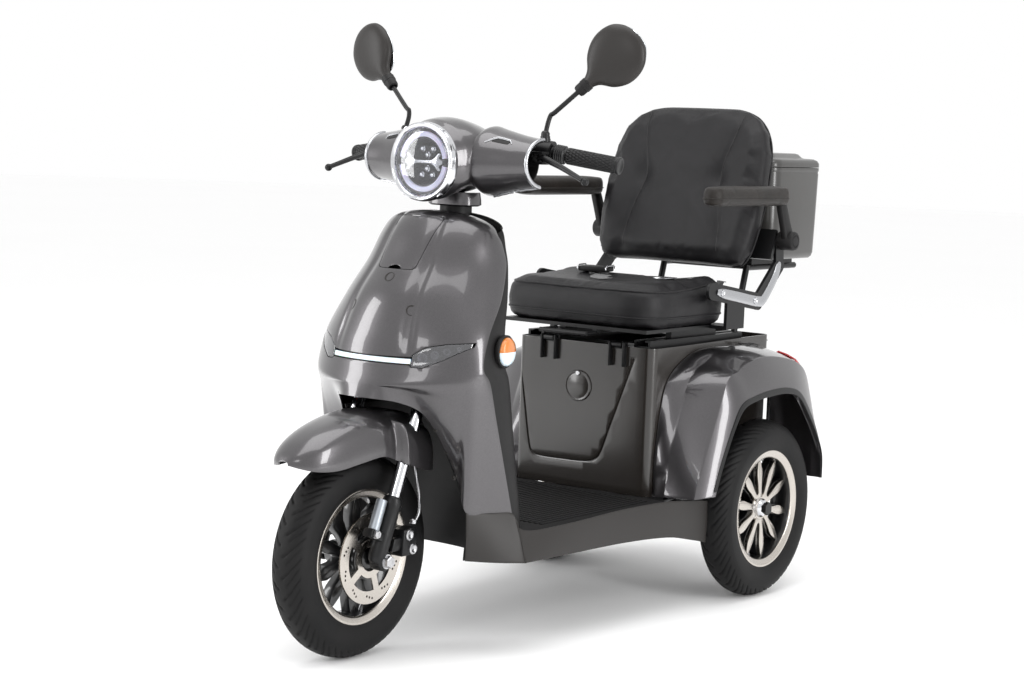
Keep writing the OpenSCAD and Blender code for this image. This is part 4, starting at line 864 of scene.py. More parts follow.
wing_rows = [[wing_at(p.x, a) for p in wing_path] for a in range(92, 261, 6)]
piece("wing_shells", both_sides(skin(wing_rows)), gunmetal, "steering", ["cowl_wings"], at=FRONT,
      thick=3, bevel=0.8)
lining = [[wing_at(p.x, a, -4.5) for p in wing_path if p.x > 90] for a in range(94, 259, 6)]
rear_half = [[wing_at(p.x, a, -3) for p in wing_path if 80 < p.x < 156] for a in range(258, 455, 6)]
piece("wing_linings", both_sides(merged(skin(lining), skin(rear_half))), black_plastic, "steering",
      at=FRONT, thick=2)
# Satin chrome on plastic: a soft, even mirror with very fine brush marks
satin_chrome = toned("satin_chrome", "#a4a5a8", "#c4c5c8", dict(kind="TexNoise", Scale=1 / 0.0009, Detail=2),
                     relief=dict(Strength=0.1, Distance=0.0002), Metallic=1.0, Roughness=0.27)
end_trim = sweep([wing_at(213, a, -0.5) for a in range(92, 261, 6)], 4.2, 12)
under_trims = [sweep([wing_at(x1 + (x2 - x1) * k / 8, 257, 1.5) for k in range(9)], 2.6, 10)
               for x1, x2 in ((104, 152), (157, 208))]
NOTCH = [(112, 146), (124, 136), (134, 130), (148, 130), (162, 131), (168, 138)]
notch_trim = sweep([wing_at(x, a, 0.6) for x, a in NOTCH], [1, 2.2, 2.4, 2.4, 2.2, 1], 10)
piece("wing_trims", both_sides(merged(end_trim, notch_trim, *under_trims)), satin_chrome, "steering",
      at=FRONT)
notch_floor = skin([[wing_at(x, a, 0.3) for x in (120 + 2 * k, 134, 148, 164 - k)]
                    for k, a in enumerate((132, 135, 138, 141))])
piece("wing_notches", both_sides(notch_floor), black_plastic, "steering", at=FRONT,
      thick=0.6)


# ---- Headlight ----
# A chromed bezel round a clear polycarbonate lens. Behind the lens a pale light guide with a faint painted
# glow runs round the edge in two arcs, and a plated bar with forked ends crosses a dark bowl between small
# round lenses.

bezel_y = front_axle_y + 192
LAMP = facing((0, bezel_y, lamp_z), (0, -1, 0))
bezel = lathe([(70.5, -6), (70.5, 6), (72, 9), (75, 12), (78, 12.4), (80.6, 10), (81.6, 6), (81.4, 2),
               (82.4, 0), (82.4, -8), (81, -14), (77, -16)], 96)
piece("lamp_bezel", bezel, chrome, "steering", ["headlight_bezel"], at=LAMP, split=50)
clips = [moved(block((-5, -2, -5), (5, 2, 7)),
               Matrix.Rotation(math.radians(a), 4, "Z") @ Matrix.Translation((0, 82.2, 0)))
         for a in (-35, 35, 145, 215)]
piece("bezel_clips", merged(*clips), chrome, "steering", at=LAMP, bevel=1.5)
# Dark-plated plastic: a near-black bowl with a dull metallic gleam
dark_bowl = toned("dark_plated_bowl", "#121215", "#222226", dict(kind="TexNoise", Scale=50, Detail=2),
                  Metallic=0.3, Roughness=0.3)
bowl = lathe([(70, 2), (66, 1), (62, -2), (48, -3), (45, -14), (34, -24), (20, -29), (0.01, -31)], 72)
piece("lamp_bowl", bowl, dark_bowl, "steering", ["headlight_reflector"], at=LAMP, thick=1.5)
# Light guide, unlit: milky acrylic with a faint lilac cast, and a faint lilac emission that is a painted
# glow, since the lamp is off
light_guide_painted_glow = toned("lilac_light_guide_painted_glow", "#c8c2dc", "#e4dff2",
                   dict(kind="TexWave", Scale=90, wave_type="RINGS", rings_direction="Z"),
                   Roughness=0.35, IOR=1.49, Subsurface_Weight=0.2, Emission_Strength=0.25,
                   Emission_Color=linear("#dcd6ee"))
arcs = []
for first, last in ((8, 172), (188, 352)):
    rows = [[Vector((r * math.cos(math.radians(a)), r * math.sin(math.radians(a)), h))
             for a in range(first, last + 1, 4)]
            for r, h in ((62.5, -2), (62, 2.4), (60, 3), (54, 3), (52, 2.4), (51.5, -2))]
    arcs.append(skin(rows))
piece("lamp_halo", merged(*arcs), light_guide_painted_glow, "steering", at=LAMP, bevel=0.4)
# The bar's right half: a stem that forks into two arms with notched ends
fork_bar = [(0, 3.2), (20, 3.2), (30, 9), (38, 18), (46, 17), (40, 8), (50, 3), (50, -3), (40, -8), (46, -17),
            (38, -18), (30, -9), (20, -3.2), (0, -3.2)]
fork_bar = fork_bar + [(-x, z) for x, z in fork_bar[::-1]]
fork_bar = [p for i, p in enumerate(fork_bar) if p != fork_bar[i - 1]]
bar_shape = [Vector((x, z, h)) for h in (-8, 0) for x, z in fork_bar]
n = len(fork_bar)
bar_faces = [list(range(n)), list(range(n, 2 * n))[::-1]]
bar_faces += [[i, n + i, n + (i + 1) % n, (i + 1) % n] for i in range(n)]
piece("lamp_bar", (bar_shape, bar_faces), satin_chrome, "steering", at=LAMP, bevel=0.8)
studs = [moved(lathe([(7.5, -20), (7.5, -13), (6.4, -12), (6, -16), (4, -11), (2, -9.6), (0.01, -9.3)], 24),
               Matrix.Translation((x, z, 0)))
         for x, z in ((-14, 27), (14, 27), (-14, -27), (14, -27), (0, 14), (0, -14))]
piece("lamp_lenses", merged(*studs), chrome, "steering", at=LAMP, split=30)
# Clear polycarbonate with a hard coat: no tint, a sharp highlight
clear_lens = toned("clear_polycarbonate", "#eef0f4", "#fafafc", dict(kind="TexNoise", Scale=20),
                   Roughness=0.02, IOR=1.45, Transmission_Weight=0.97)
piece("lamp_lens", lathe([(70, 4), (66, 6.6), (56, 9), (36, 11.2), (18, 12.2), (0.01, 12.6)], 72), clear_lens,
      "steering", ["headlight_lens"], at=LAMP, thick=1.6)


# ---- Instrument panel and neck cover ----
# A black display pod closes the housing towards the rider. The neck cover is a painted collar under the
# housing.

dash_y = front_axle_y + 411.2
oval = [(math.cos(a * math.pi / 32), math.sin(a * math.pi / 32)) for a in range(64)]
dash = skin([[Vector((66 * s * c, y, lamp_z + 19 + 37 * s * v)) for c, v in oval]
             for s, y in ((1.0, dash_y), (1.0, dash_y + 5), (0.96, dash_y + 8), (0.88, dash_y + 9),
                          (0.86, dash_y + 6), (0.5, dash_y + 6), (0.01, dash_y + 6))], closed=True)
piece("dash_pod", dash, black_plastic, "steering", ["dash_display"], split=40)
glass = moved(prism(rounded([(-40, -14), (26, -14), (26, 16), (-40, 16)], 6), 0, 2.2),
              Matrix.Translation((-6, dash_y + 5.6, lamp_z + 21)))
# Display glass: near black with a faint green-grey, polished
display_glass = toned("display_glass", "#1b201f", "#28302d", dict(kind="TexNoise", Scale=30),
                      Roughness=0.06, IOR=1.5, Coat_Weight=0.6)
piece("dash_glass", glass, display_glass, "steering", bevel=0.6)
lock = moved(lathe([(14, -3), (14, 2), (12, 3.5), (8, 3.5), (6, 1.5), (4.2, 1.5)], 40),
             facing((38, dash_y + 6, lamp_z + 14), (0, 1, 0)))
piece("key_lock", lock, zinc, "steering", split=30)


def ring_of(w, d, r, z, steps=8):
    """A rounded rectangle, w by d with corner radius r, as points round the middle at height z."""
    ring = []
    for k, (sx, sy) in enumerate(((1, 1), (-1, 1), (-1, -1), (1, -1))):
        for i in range(steps + 1):
            a = math.radians(90 * k + 90 * i / steps)
            ring.append(Vector((sx * (w / 2 - r) + r * math.cos(a), sy * (d / 2 - r) + r * math.sin(a), z)))
    return ring


def tower(rings):
    """A closed solid through rings of points, from its top down, with flat ends."""
    points, faces = skin(rings, closed=True)
    n = len(rings[0])
    return points, faces + [list(range(n)), list(range(len(points) - n, len(points)))[::-1]]


collar = [ring_of(w, d, 30, z)
          for w, d, z in ((108, 72, 946), (113, 75, 930), (114, 76, 920), (108, 70, 917))]
piece("neck_collar", tower(collar), gunmetal, "steering", ["neck_cover"],
      at=Matrix.Translation((0, front_axle_y + 302, 0)), split=40)
piece("neck_sleeve", moved(lathe([(34, 862), (34, 918), (27, 921)], 40),
                           Matrix.Translation((0, front_axle_y + 306, 0))),
      black_plastic, "steering", thick=2)


# ---- Grips and levers ----
# Moulded rubber grips with a lozenge pattern, a ribbed collar and an end ring; the right one turns as the
# throttle. The brake levers are black cast aluminium with a ball end.

bar_rise = Vector((190, front_axle_y + 361, 1038))
bar_end = Vector((353, front_axle_y + 394, 1015))
bar_dir = (bar_end - bar_rise).normalized()
grip_from = bar_rise + 16 * bar_dir
grip_l = (bar_end - grip_from).length
ALONG_BAR = facing(grip_from, bar_dir)
grip_rows = []
for i in range(171):
    h = grip_l * i / 170
    ring = []
    for k in range(128):
        around = 16.5 * k * 2 * math.pi / 128
        u, v = h / 15, around / (16.5 * 2 * math.pi / 16)
        lozenge = min(abs((u + v) % 1 - 0.5), abs((u - v) % 1 - 0.5)) * 2
        r = 15.6 + 1.9 * step(lozenge, 0.12, 0.4) * step(h, 32, 36) * (1 - step(h, grip_l - 12, grip_l - 8))
        r += (3.2 + 0.9 * math.cos(h * 2 * math.pi / 4.4)) * step(h, 4, 6) * (1 - step(h, 27, 30))
        r += 2.6 * step(h, grip_l - 6, grip_l - 5)
        ring.append(Vector((r * math.cos(k * math.pi / 64), r * math.sin(k * math.pi / 64), h)))
    grip_rows.append(ring)
inner = [[Vector((r * math.cos(k * math.pi / 64), r * math.sin(k * math.pi / 64), h)) for k in range(128)]
         for r, h in ((11.3, 0), (15.9, 0))]
outer = [[Vector((r * math.cos(k * math.pi / 64), r * math.sin(k * math.pi / 64), h)) for k in range(128)]
         for r, h in ((17.6, grip_l + 1), (14, grip_l + 1), (12, grip_l - 0.6), (0.01, grip_l - 0.6))]
grip_shape = flipped(skin(inner + grip_rows + outer, closed=True))
# Soft moulded rubber, black with a low sheen and a very fine tooth about 0.7 mm across
grip_rubber = toned("grip_rubber", "#0a0a0b", "#131314", dict(kind="TexNoise", Scale=1 / 0.0007, Detail=2),
                    relief=dict(Strength=0.2, Distance=0.0002), Roughness=0.34, IOR=1.52,
                    Specular_IOR_Level=0.35)
placed_grip = moved(grip_shape, ALONG_BAR)
piece("grip_left", placed_grip, grip_rubber, "steering", ["left_grip"], split=0)
piece("grip_right", mirror(placed_grip), grip_rubber, "throttle", ["throttle_grip"], split=0)

lever_at = Vector((216, front_axle_y + 309, 1026))
lever_path = through([lever_at + Vector(p) for p in ((-6, 0, 0), (8, -5, -1), (34, -9, -9), (60, -12, -18),
                                                      (94, -18, -31), (120, -23, -41))], 6)
lever_girth = [7.4 - 2.2 * step(i, 0, len(lever_path) - 1) for i in range(len(lever_path))]
blade = sweep(lever_path, lever_girth, 16)
knob = moved(lathe([(8.2 * math.sin(a * math.pi / 12), -8.2 * math.cos(a * math.pi / 12))
                    for a in range(1, 12)], 20),
             Matrix.Translation(lever_at + Vector((127, -24, -44))))
eye = moved(lathe([(4.1, -8.4), (9, -8.4), (9, 6.4), (4.1, 6.4)], 32), Matrix.Translation(lever_at))
lever_shape = merged(blade, knob, eye)
piece("lever_left", lever_shape, black_casting, "lever_left", ["brake_lever_left"], split=50)
piece("lever_right", mirror(lever_shape), black_casting, "lever_right", ["brake_lever_right"],
      split=50)


# ---- Mirrors ----
# A ribbed rubber boot, a bent 10 mm steel stem, a clamping sleeve with two nuts' worth of steps, and a
# drop-shaped black ABS shell with the glass towards the rider.

boot_at = bar_rise + Vector((-2, -3, 18))
stem_bend = boot_at + Vector((-1, 11, 52))
ball_at = stem_bend + Vector((73, 18, 66))
sleeve_dir = (ball_at - stem_bend).normalized()
boot = moved(lathe([(12, 0), (12.4, 3), (11, 5), (11.4, 8), (10, 10), (10.4, 13), (9, 15), (9.2, 20), (7, 24),
                    (5, 25)],
                   28), Matrix.Translation(boot_at))
stem_path = [boot_at + Vector((0, 0, 18)), boot_at.lerp(stem_bend, 0.8), stem_bend + Vector((4, 2, 6)),
             stem_bend.lerp(ball_at, 0.2), ball_at]
piece("mirror_boots", both_sides(boot), grip_rubber, "steering", split=60)
piece("mirror_rods", both_sides(sweep(through(stem_path, 6), 5, 16)), black_casting, "steering",
      ["mirror_stems"])
# Along the mirror shell: distance from its neck, half width, depth, set-back
MIRROR = [(-2, 13, 12, 0), (6, 15, 13, 0), (18, 23, 15, 0), (36, 45, 19, 2), (62, 60, 22, 3), (90, 63, 22, 3),
          (116, 55, 19, 2), (134, 37, 13, 1), (142, 18, 7, 0), (144.5, 3, 2, 0)]
MIRROR_TURN = Matrix.Translation(ball_at + 13 * sleeve_dir) @ Matrix.Rotation(math.radians(12), 4, "Z") \
    @ Matrix.Rotation(math.radians(46), 4, "Y")
shell_rows = []
for s, w, d, shift in [tuple(p) for p in through([Vector(r) for r in MIRROR], 5)]:
    shell_rows.append([Vector((w * math.cos(math.radians(a)),
                               shift + (d if math.sin(math.radians(a)) < 0 else d * 0.5)
                               * power(math.sin(math.radians(a)), 0.9), s)) for a in range(0, 360, 10)])
shell = moved(flipped(skin(shell_rows, closed=True)), MIRROR_TURN)
rim = [(s, w * 0.9) for s, w, _, _ in MIRROR[2:-1]]
outline = [(w, s) for s, w in rim] + [(-w, s) for s, w in rim[::-1]]
outline = [tuple(p.xy) for p in through([Vector((a, b, 0)) for a, b in outline], 4, closed=True)]
mirror_glass = moved(prism(outline, 11.5, 14.6), MIRROR_TURN)
sleeve = moved(lathe([(8, -17), (11.4, -16), (13, -12), (13.4, 0), (14.4, 1), (14.4, 12), (13, 13), (13, 18)],
                     32),
               facing(ball_at, sleeve_dir))
# Silvered glass: a clean mirror with the least veil of dust
silvered = toned("silvered_glass", "#d9dde0", "#e6e9eb", dict(kind="TexNoise", Scale=8),
                 Metallic=1.0, Roughness=0.02)
for side, turn in (("left", lambda s: s), ("right", mirror)):
    body = "mirror_" + side
    piece("mirror_shell_" + side, turn(shell), satin_cap, body, ["mirror_head_" + side],
          split=50)
    piece("mirror_sleeve_" + side, turn(sleeve), black_plastic, body, split=40)
    piece("mirror_glass_" + side, turn(mirror_glass), silvered, body, bevel=0.8)


# ---- Floor ----
# The deck is a ribbed rubber mat on a steel tray. Satin dark ABS skirts hide the frame rails and run back
# under the front foot of each rear mudguard.

deck_z = 255
deck_front_y = front_axle_y + 270
pedestal_y = 128
# The deck from front to rear: y and half width
DECK = [(deck_front_y + 1, 224), (deck_front_y + 110, 255), (-90, 263), (pedestal_y - 60, 275),
        (pedestal_y + 96, 282)]
# Ribbed rubber mat: dull black, dusty in the grooves
mat_rubber = toned("ribbed_mat_rubber", "#0f0f10", "#1b1a1a", dict(kind="TexNoise", Scale=12, Detail=6),
                   grain=dict(kind="TexNoise", Scale=1 / 0.0012, Detail=2),
                   relief=dict(Strength=0.3, Distance=0.0003), Roughness=0.7, IOR=1.52,
                   Specular_IOR_Level=0.2)
mat_edge = [Vector((w, y, 0)) for y, w in DECK] + [Vector((-w, y, 0)) for y, w in DECK[::-1]]
mat_edge = mat_edge[:4] + [Vector((275, pedestal_y, 0)), Vector((-275, pedestal_y, 0))] + mat_edge[-4:]
mat_rings = [[p + Vector((0, 0, z)) for p in mat_edge] for z in (deck_z - 4.8, deck_z)]
flat_mat = ([p for ring in mat_rings for p in ring],
            [list(range(10))[::-1], list(range(10, 20))]
            + [[i, (i + 1) % 10, 10 + (i + 1) % 10, 10 + i] for i in range(10)])
ribs = [block((x - 4, deck_front_y + 95, deck_z - 1), (x + 4, pedestal_y - 34, deck_z + 2.2))
        for x in range(-210, 211, 14)]
piece("floor_mat", merged(flat_mat, *ribs), mat_rubber, "chassis", ["floor_deck"], bevel=0.8)

# The skirt from front to rear: x at its top, y, z at its top, x and z at its foot
SKIRT = [(186, front_axle_y + 139, 303.5, 187, 205), (207, front_axle_y + 190, 299.5, 226, 200),
         (226, front_axle_y + 242, 296.5, 258, 197), (244, front_axle_y + 258, 262, 262, 197),
         (263, deck_front_y + 111, deck_z + 6, 267, 196), (272, -89, deck_z + 13, 275, 194),
         (283, pedestal_y - 58, deck_z + 12, 285, 186), (288, pedestal_y + 40, deck_z + 3, 288, 168),
         (290, pedestal_y + 102, deck_z - 4, 290, 154)]
skirt_rows = [[Vector((x1 + (x2 - x1) * t + 2.2 * math.sin(t * math.pi), y, z1 + (z2 - z1) * t))
               for x1, y, z1, x2, z2 in SKIRT] for t in (0, 0.06, 0.5, 0.94, 1)]
skirt_rows = [through(row, 5) for row in skirt_rows]
piece("side_skirts", both_sides(skin(skirt_rows)), satin_cap, "chassis", ["floor_skirt"],
      thick=3, bevel=1)


# ---- Seat box ----
# A blow-moulded ABS box in glossy brown-black with a U-shaped groove on its face. A round cover on a
# pivot pin closes the charging port, and two steel hinge ears per side carry the seat.

pedestal_mid = (pedestal_y + 658) / 2
# Glossy brown-black ABS: hardly any grain, a clear highlight with a slight waviness over 60 mm
gloss_brown = toned("gloss_brown_black_abs", "#1c1916", "#272320", dict(kind="TexNoise", Scale=7, Detail=3),
                    grain=dict(kind="TexNoise", Scale=1 / 0.06), relief=dict(Strength=0.2, Distance=0.002),
                    Roughness=0.26, IOR=1.53, Coat_Weight=0.35, Coat_Roughness=0.12)


def dense(ring, spacing):
    """A ring of points with more put along its longer sides."""
    out = []
    for i, p in enumerate(ring):
        q = ring[(i + 1) % len(ring)]
        parts = max(1, round((q - p).length / spacing))
        out += [p.lerp(q, k / parts) for k in range(parts)]
    return out


box_rings = []
for z in (597, 596, 590, 575, 555, 535, 515, 495, 475, 455, 435, 415, 395, 375, 355, 335, 315, 295, 275, 256):
    bulge = 3.0 * math.sin(math.pi * (z - 256) / 341)
    ring = dense(ring_of(380 + 0.2 * bulge, 530, 22, z, 10), 20)
    box_rings.append([p + Vector((0, 0, 5 * step(p.y, -200, 260) if z > 585 else 0)) for p in ring])
port_x, port_z = -12, 494
socket_hole = cutter("socket_hole", moved(lathe([(0.01, -20), (24, -20), (24, 20), (0.01, 20)]),
                                          facing((port_x, pedestal_y, port_z), (0, 1, 0))))
rear_room = cutter("rear_room", block((-210, pedestal_y + 136, 240), (210, 700, 310)))
GROOVE = [(-187, 561), (-165, 440), (-149, 350), (-139, 325), (-117, 316), (-50, 316), (9, 318), (38, 326),
          (56, 345), (78, 405), (112, 497), (139, 571)]
groove_path = through([Vector((x, pedestal_y - 0.6, z)) for x, z in GROOVE], 5)
groove = cutter("box_groove", sweep(groove_path, 3.2, 8))
piece("seat_box", skin(box_rings, closed=True), gloss_brown, "chassis", ["seat_pedestal"],
      at=Matrix.Translation((0, pedestal_mid, 0)), thick=4, bevel=1.2, cuts=[socket_hole, rear_room, groove])
piece("box_rear_lid", block((-185, 562, 585), (185, 655, 589)), satin_cap, "chassis",
      bevel=1.2)
ears = [block((x, 115, 550), (x + 6, 134, 607)) for x in (74, 112)]
cover_pin = moved(lathe([(0.01, 8), (4.6, 8), (5, 7.4), (5, 5.4), (3, 5.4), (3, -2)], 20),
                  facing((port_x, pedestal_y + 1, port_z + 29.5), (0, -1, 0)))
piece("hinge_ears", both_sides(merged(*ears)), black_casting, "chassis", bevel=2.5)
piece("cover_pivot", cover_pin, zinc, "chassis", split=30)
port_cap = moved(lathe([(0.01, 0), (36.4, 0), (36.5, 1.6), (35, 3.2), (33, 3.4), (31.5, 2.6), (29, 2.6),
                        (27, 3.4), (0.01, 3.6)], 64), facing((port_x, pedestal_y - 0.4, port_z), (0, -1, 0)))
piece("port_cap", port_cap, gloss_brown, "port_cover", ["charge_cover"], split=40)


# ---- Rear mudguards and tail lamps ----
# ABS mouldings in the metallic paint, screwed to the seat box, with two pressed creases over the wheel
# and a black rubber edging round the arch. A red lamp and two louvres sit in the rear slope.

# Stations from the front foot to the rear foot, as (y, z) behind the rear axle: at the seat box, on the
# inner crease, on the outer crease and at the wheel arch
GUARD = [((-301, 257), (-316, 262), (-316, 267), (-274, 273)),
         ((-301, 350), (-301, 355), (-285, 345), (-248, 335)),
         ((-286, 450), (-266, 455), (-236, 445), (-206, 412)),
         ((-261, 520), (-226, 530), (-194, 528), (-166, 462)),
         ((-201, 563), (-171, 560), (-141, 548), (-106, 478)),
         ((-121, 586), (-101, 586), (-51, 572), (-31, 484)),
         ((-1, 586), (19, 588), (48, 567), (39, 484)), ((109, 582), (124, 574), (139, 545), (94, 468)),
         ((179, 550), (189, 535), (184, 505), (149, 415)), ((209, 480), (216, 470), (206, 430), (194, 362)),
         ((215, 380), (228, 372), (222, 330), (221, 318)), ((215, 262), (230, 262), (227, 262), (225, 262))]
# How far out each of those four lines runs
GUARD_X = [192.4, 231.8, 312.1, 342.5]
guard_lines = [through([Vector((x, rear_axle_y + row[j][0], row[j][1])) for row in GUARD], 8)
               for j, x in enumerate(GUARD_X)]


def guard_at(i, v, out=0):
    """A point of the left mudguard at step i along it and v across it, from 0 at the box to 3 at the arch."""
    j = min(int(v), 2)
    a, b = guard_lines[j][i], guard_lines[j + 1][i]
    p = a.lerp(b, v - j)
    along = guard_lines[j][min(i + 1, len(guard_lines[0]) - 1)] - guard_lines[j][max(i - 1, 0)]
    face = along.cross(b - a).normalized()
    swell = 3.0 * math.sin(math.pi * (v - j))
    return p - face * (out + swell) if face.x < 0 or face.z < 0 else p + face * (out + swell)


spread = [0, 0.03, 0.3, 0.6, 0.93, 1, 1.05, 1.3, 1.6, 1.93, 2, 2.05, 2.35, 2.7, 2.96, 3]
guard_rows = [[guard_at(i, v) for i in range(len(guard_lines[0]))] for v in spread]
guard_rows.insert(0, [Vector((p.x - 0.9, min(p.y, 655), p.z)) for p in guard_rows[0]])
flange = [Vector((p.x - 12, p.y, p.z)) for p in guard_rows[-1]]
piece("rear_fenders", both_sides(skin(guard_rows + [flange])), gunmetal, "chassis",
      ["rear_mudguards"], thick=4, bevel=1.2, split=25)
edging = [[guard_at(i, v, out) for i in range(2, len(guard_lines[0]))] for v, out in
          ((2.84, 0.4), (2.85, 2.2), (2.97, 2.4), (3, 1.8))]
edging.append([Vector((p.x - 14, p.y, p.z)) for p in edging[-1]])
# EPDM edging: black rubber with a soft sheen
piece("arch_edging", both_sides(skin(edging)), grip_rubber, "chassis", thick=1.2)
# Red acrylic: deep, glossy, with fine vertical flutes about 6 mm apart
red_acrylic = toned("red_acrylic", "#8d0d12", "#c42a2a", dict(kind="TexWave", Scale=52, bands_direction="X"),
                    relief=dict(Strength=0.4, Distance=0.001), Roughness=0.1, IOR=1.49,
                    Subsurface_Weight=0.15, Coat_Weight=1.0, Coat_Roughness=0.03)
lamp = [[guard_at(i, v, out) for i in range(57, 65)]
        for v, out in ((1.18, 2), (1.22, 7), (1.5, 8), (1.78, 7), (1.82, 2))]
piece("tail_lamp_lenses", both_sides(skin(lamp)), red_acrylic, "chassis", ["tail_lamps"], thick=4,
      bevel=1.2)
louvres = [skin([[guard_at(i, v, 1.4) for v in (0.25, 0.45, 0.65, 0.8)] for i in pair])
           for pair in ((50, 51), (53, 54))]
piece("fender_louvres", both_sides(merged(*louvres)), black_plastic, "chassis", thick=1.6,
      bevel=0.5)


# ---- Top case ----
# A lockable luggage box in glossy dark ABS: a straight-sided tub with round corners and a lid with a raised
# middle, on a black steel tube rack.

case_mid = Matrix.Translation((0, 768, 0))
# Glossy dark grey ABS: a clear highlight that waves a little over 50 mm
case_gloss = toned("gloss_dark_grey_abs", "#2c2b2a", "#373634", dict(kind="TexNoise", Scale=6, Detail=3),
                   grain=dict(kind="TexNoise", Scale=1 / 0.05), relief=dict(Strength=0.15, Distance=0.002),
                   Roughness=0.28, IOR=1.53, Coat_Weight=0.3, Coat_Roughness=0.1)
# Rings of the tub and of the lid from the top down: width, depth, corner radius, height
TUB = [(376, 246, 34, 1011.6), (376, 246, 34, 1004), (373, 243, 33, 1002), (373, 243, 33, 998),
       (375, 245, 34, 996), (372, 242, 34, 900), (368, 238, 34, 800), (362, 232, 32, 790),
       (350, 220, 28, 784.6), (300, 180, 20, 784.4), (0.2, 0.2, 0.09, 784.4)]
LID_TOP = [(0.2, 0.2, 0.09, 1046), (280, 160, 30, 1046), (292, 172, 32, 1044), (306, 186, 32, 1036),
           (316, 196, 34, 1034), (356, 226, 36, 1033), (370, 240, 36, 1029), (376, 246, 34, 1022),
           (376, 246, 34, 1012.8)]
tub = [ring_of(*row) for row in TUB]
piece("case_tub", skin(tub, closed=True), case_gloss, "chassis", ["top_case_body"], at=case_mid,
      thick=4, bevel=0.8, split=40)
lid = [ring_of(*row) for row in LID_TOP]
piece("case_lid", skin(lid, closed=True), case_gloss, "case_lid", ["top_case_lid"], at=case_mid,
      thick=4, bevel=0.8, split=40)
piece("case_latch", block((-24, 891.4, 998), (24, 895, 1028)), satin_cap, "case_lid",
      bevel=1.4)
hinge_y, hinge_z = 640, 1012
hinge_leaves = [block((x - 18, hinge_y - 2, hinge_z + 1), (x + 18, hinge_y + 6, hinge_z + 12))
                for x in (-110, 110)]
hinge_rods = [moved(lathe([(0.01, -28), (2.5, -28), (2.5, 28), (0.01, 28)], 16),
                    Matrix.Translation((x, hinge_y, hinge_z)) @ ALONG_X) for x in (-110, 110)]
piece("lid_hinges", merged(*hinge_leaves, *hinge_rods), zinc, "case_lid", bevel=0.6)
knuckle_xs = (-134, -86, 86, 134)
knuckles = [moved(lathe([(2.7, -4), (4.6, -4), (4.6, 4), (2.7, 4)], 20),
                  Matrix.Translation((x, hinge_y, hinge_z)) @ ALONG_X) for x in knuckle_xs]
lugs = [block((x - 4, hinge_y, hinge_z - 12), (x + 4, hinge_y + 6, hinge_z - 4.6)) for x in knuckle_xs]
piece("tub_knuckles", merged(*knuckles, *lugs), black_casting, "chassis", split=40)


# ---- Seat ----
# A foam cushion and backrest in black faux leather, each sewn from panels with a piped edge. Vertical
# seams pinch the back to two buttons at mid height.

seat_y = 60
cushion_z = 642.8
cushion_t = 106
back_y = 484
back_z = 762.8
BACK_TURN = Matrix.Translation((0, back_y, back_z)) @ Matrix.Rotation(math.radians(-16.5), 4, "X")


def vinyl(name, dark, pale, grain_mm):
    """Faux leather: fine pebbled cells under a soft sheen, with broad, shallow creases."""
    made, tree, shader, place = finish_of(name, Roughness=0.42, IOR=1.5, Specular_IOR_Level=0.28)
    cells = add(tree, "TexVoronoi", {"Vector": place}, Scale=1000 / grain_mm, feature="DISTANCE_TO_EDGE")
    creases = add(tree, "TexNoise", {"Vector": place}, Scale=16, Detail=4, Distortion=1.0)
    height = add(tree, "Math", operation="MULTIPLY_ADD")
    tree.links.new(creases.outputs["Fac"], height.inputs[0])
    height.inputs[1].default_value = 1.3
    tree.links.new(cells.outputs["Distance"], height.inputs[2])
    tint = add(tree, "ValToRGB", {"Fac": creases.outputs["Fac"]})
    tint.color_ramp.elements[0].position, tint.color_ramp.elements[0].color = 0.3, linear(dark)
    tint.color_ramp.elements[1].position, tint.color_ramp.elements[1].color = 0.75, linear(pale)
    relief = add(tree, "Bump", {"Height": height.outputs[0]}, Strength=0.35, Distance=0.0012)
    tree.links.new(tint.outputs[0], shader.inputs["Base Color"])
    tree.links.new(relief.outputs[0], shader.inputs["Normal"])
    return made


# Real leather-cloth grain is about 0.7 mm; drawn at 1.6 mm so that it shows
faux_leather = vinyl("black_faux_leather", "#0e0d0f", "#181719", 1.6)


def puffed(made, cap_mm, voxel=0.006):
    """Swells a soft piece with a short cloth simulation, no point moving further than the cap."""
    remesh = made.modifiers.new("even_mesh", "REMESH")
    remesh.mode, remesh.voxel_size = "VOXEL", voxel
    bpy.context.view_layer.update()
    graph = bpy.context.evaluated_depsgraph_get()
    shape = bpy.data.meshes.new_from_object(made.evaluated_get(graph))
    made.modifiers.clear()
    made.data = shape
    rest = [v.co.copy() for v in shape.vertices]
    cloth = made.modifiers.new("cover", "CLOTH")
    cloth.settings.use_pressure = True
    cloth.settings.uniform_pressure_force = 4
    cloth.settings.effector_weights.gravity = 0
    for number in range(1, 21):
        bpy.context.scene.frame_set(number)
    graph = bpy.context.evaluated_depsgraph_get()
    swollen = bpy.data.meshes.new_from_object(made.evaluated_get(graph))
    for v, target, start in zip(shape.vertices, swollen.vertices, rest):
        shift = target.co - start
        v.co = start + shift * min(1, cap_mm / 1000 / max(shift.length, 1e-9))
    made.modifiers.clear()
    bpy.context.scene.frame_set(1)
    shape.polygons.foreach_set("use_smooth", [True] * len(shape.polygons))


def cushion_point(a, share, inset):
    """A point of the cushion's outline at an angle in degrees, at a share of its thickness."""
    c, s = math.cos(math.radians(a)), math.sin(math.radians(a))
    x = (225 - inset) * power(c, 0.36)
    y = (184 - inset) * power(s, 0.36)
    bolster = 13 * step(abs(x), 110, 215) * step(y, -70, 130) * step(share, 0.5, 1)
    return Vector((x, seat_y + 188 + y, cushion_z + 2 + share * 94 + bolster))


# Rings of the cushion from its top down: share of its thickness, inset from its outline
PUFF = [(1, 160), (1, 120), (1, 70), (0.99, 32), (0.93, 14), (0.78, 4), (0.5, 0), (0.3, 1), (0.1, 5),
        (0.02, 12), (0, 26), (0, 160)]
cushion_rings = [[cushion_point(a, share, inset) for a in range(0, 360, 6)] for share, inset in PUFF]
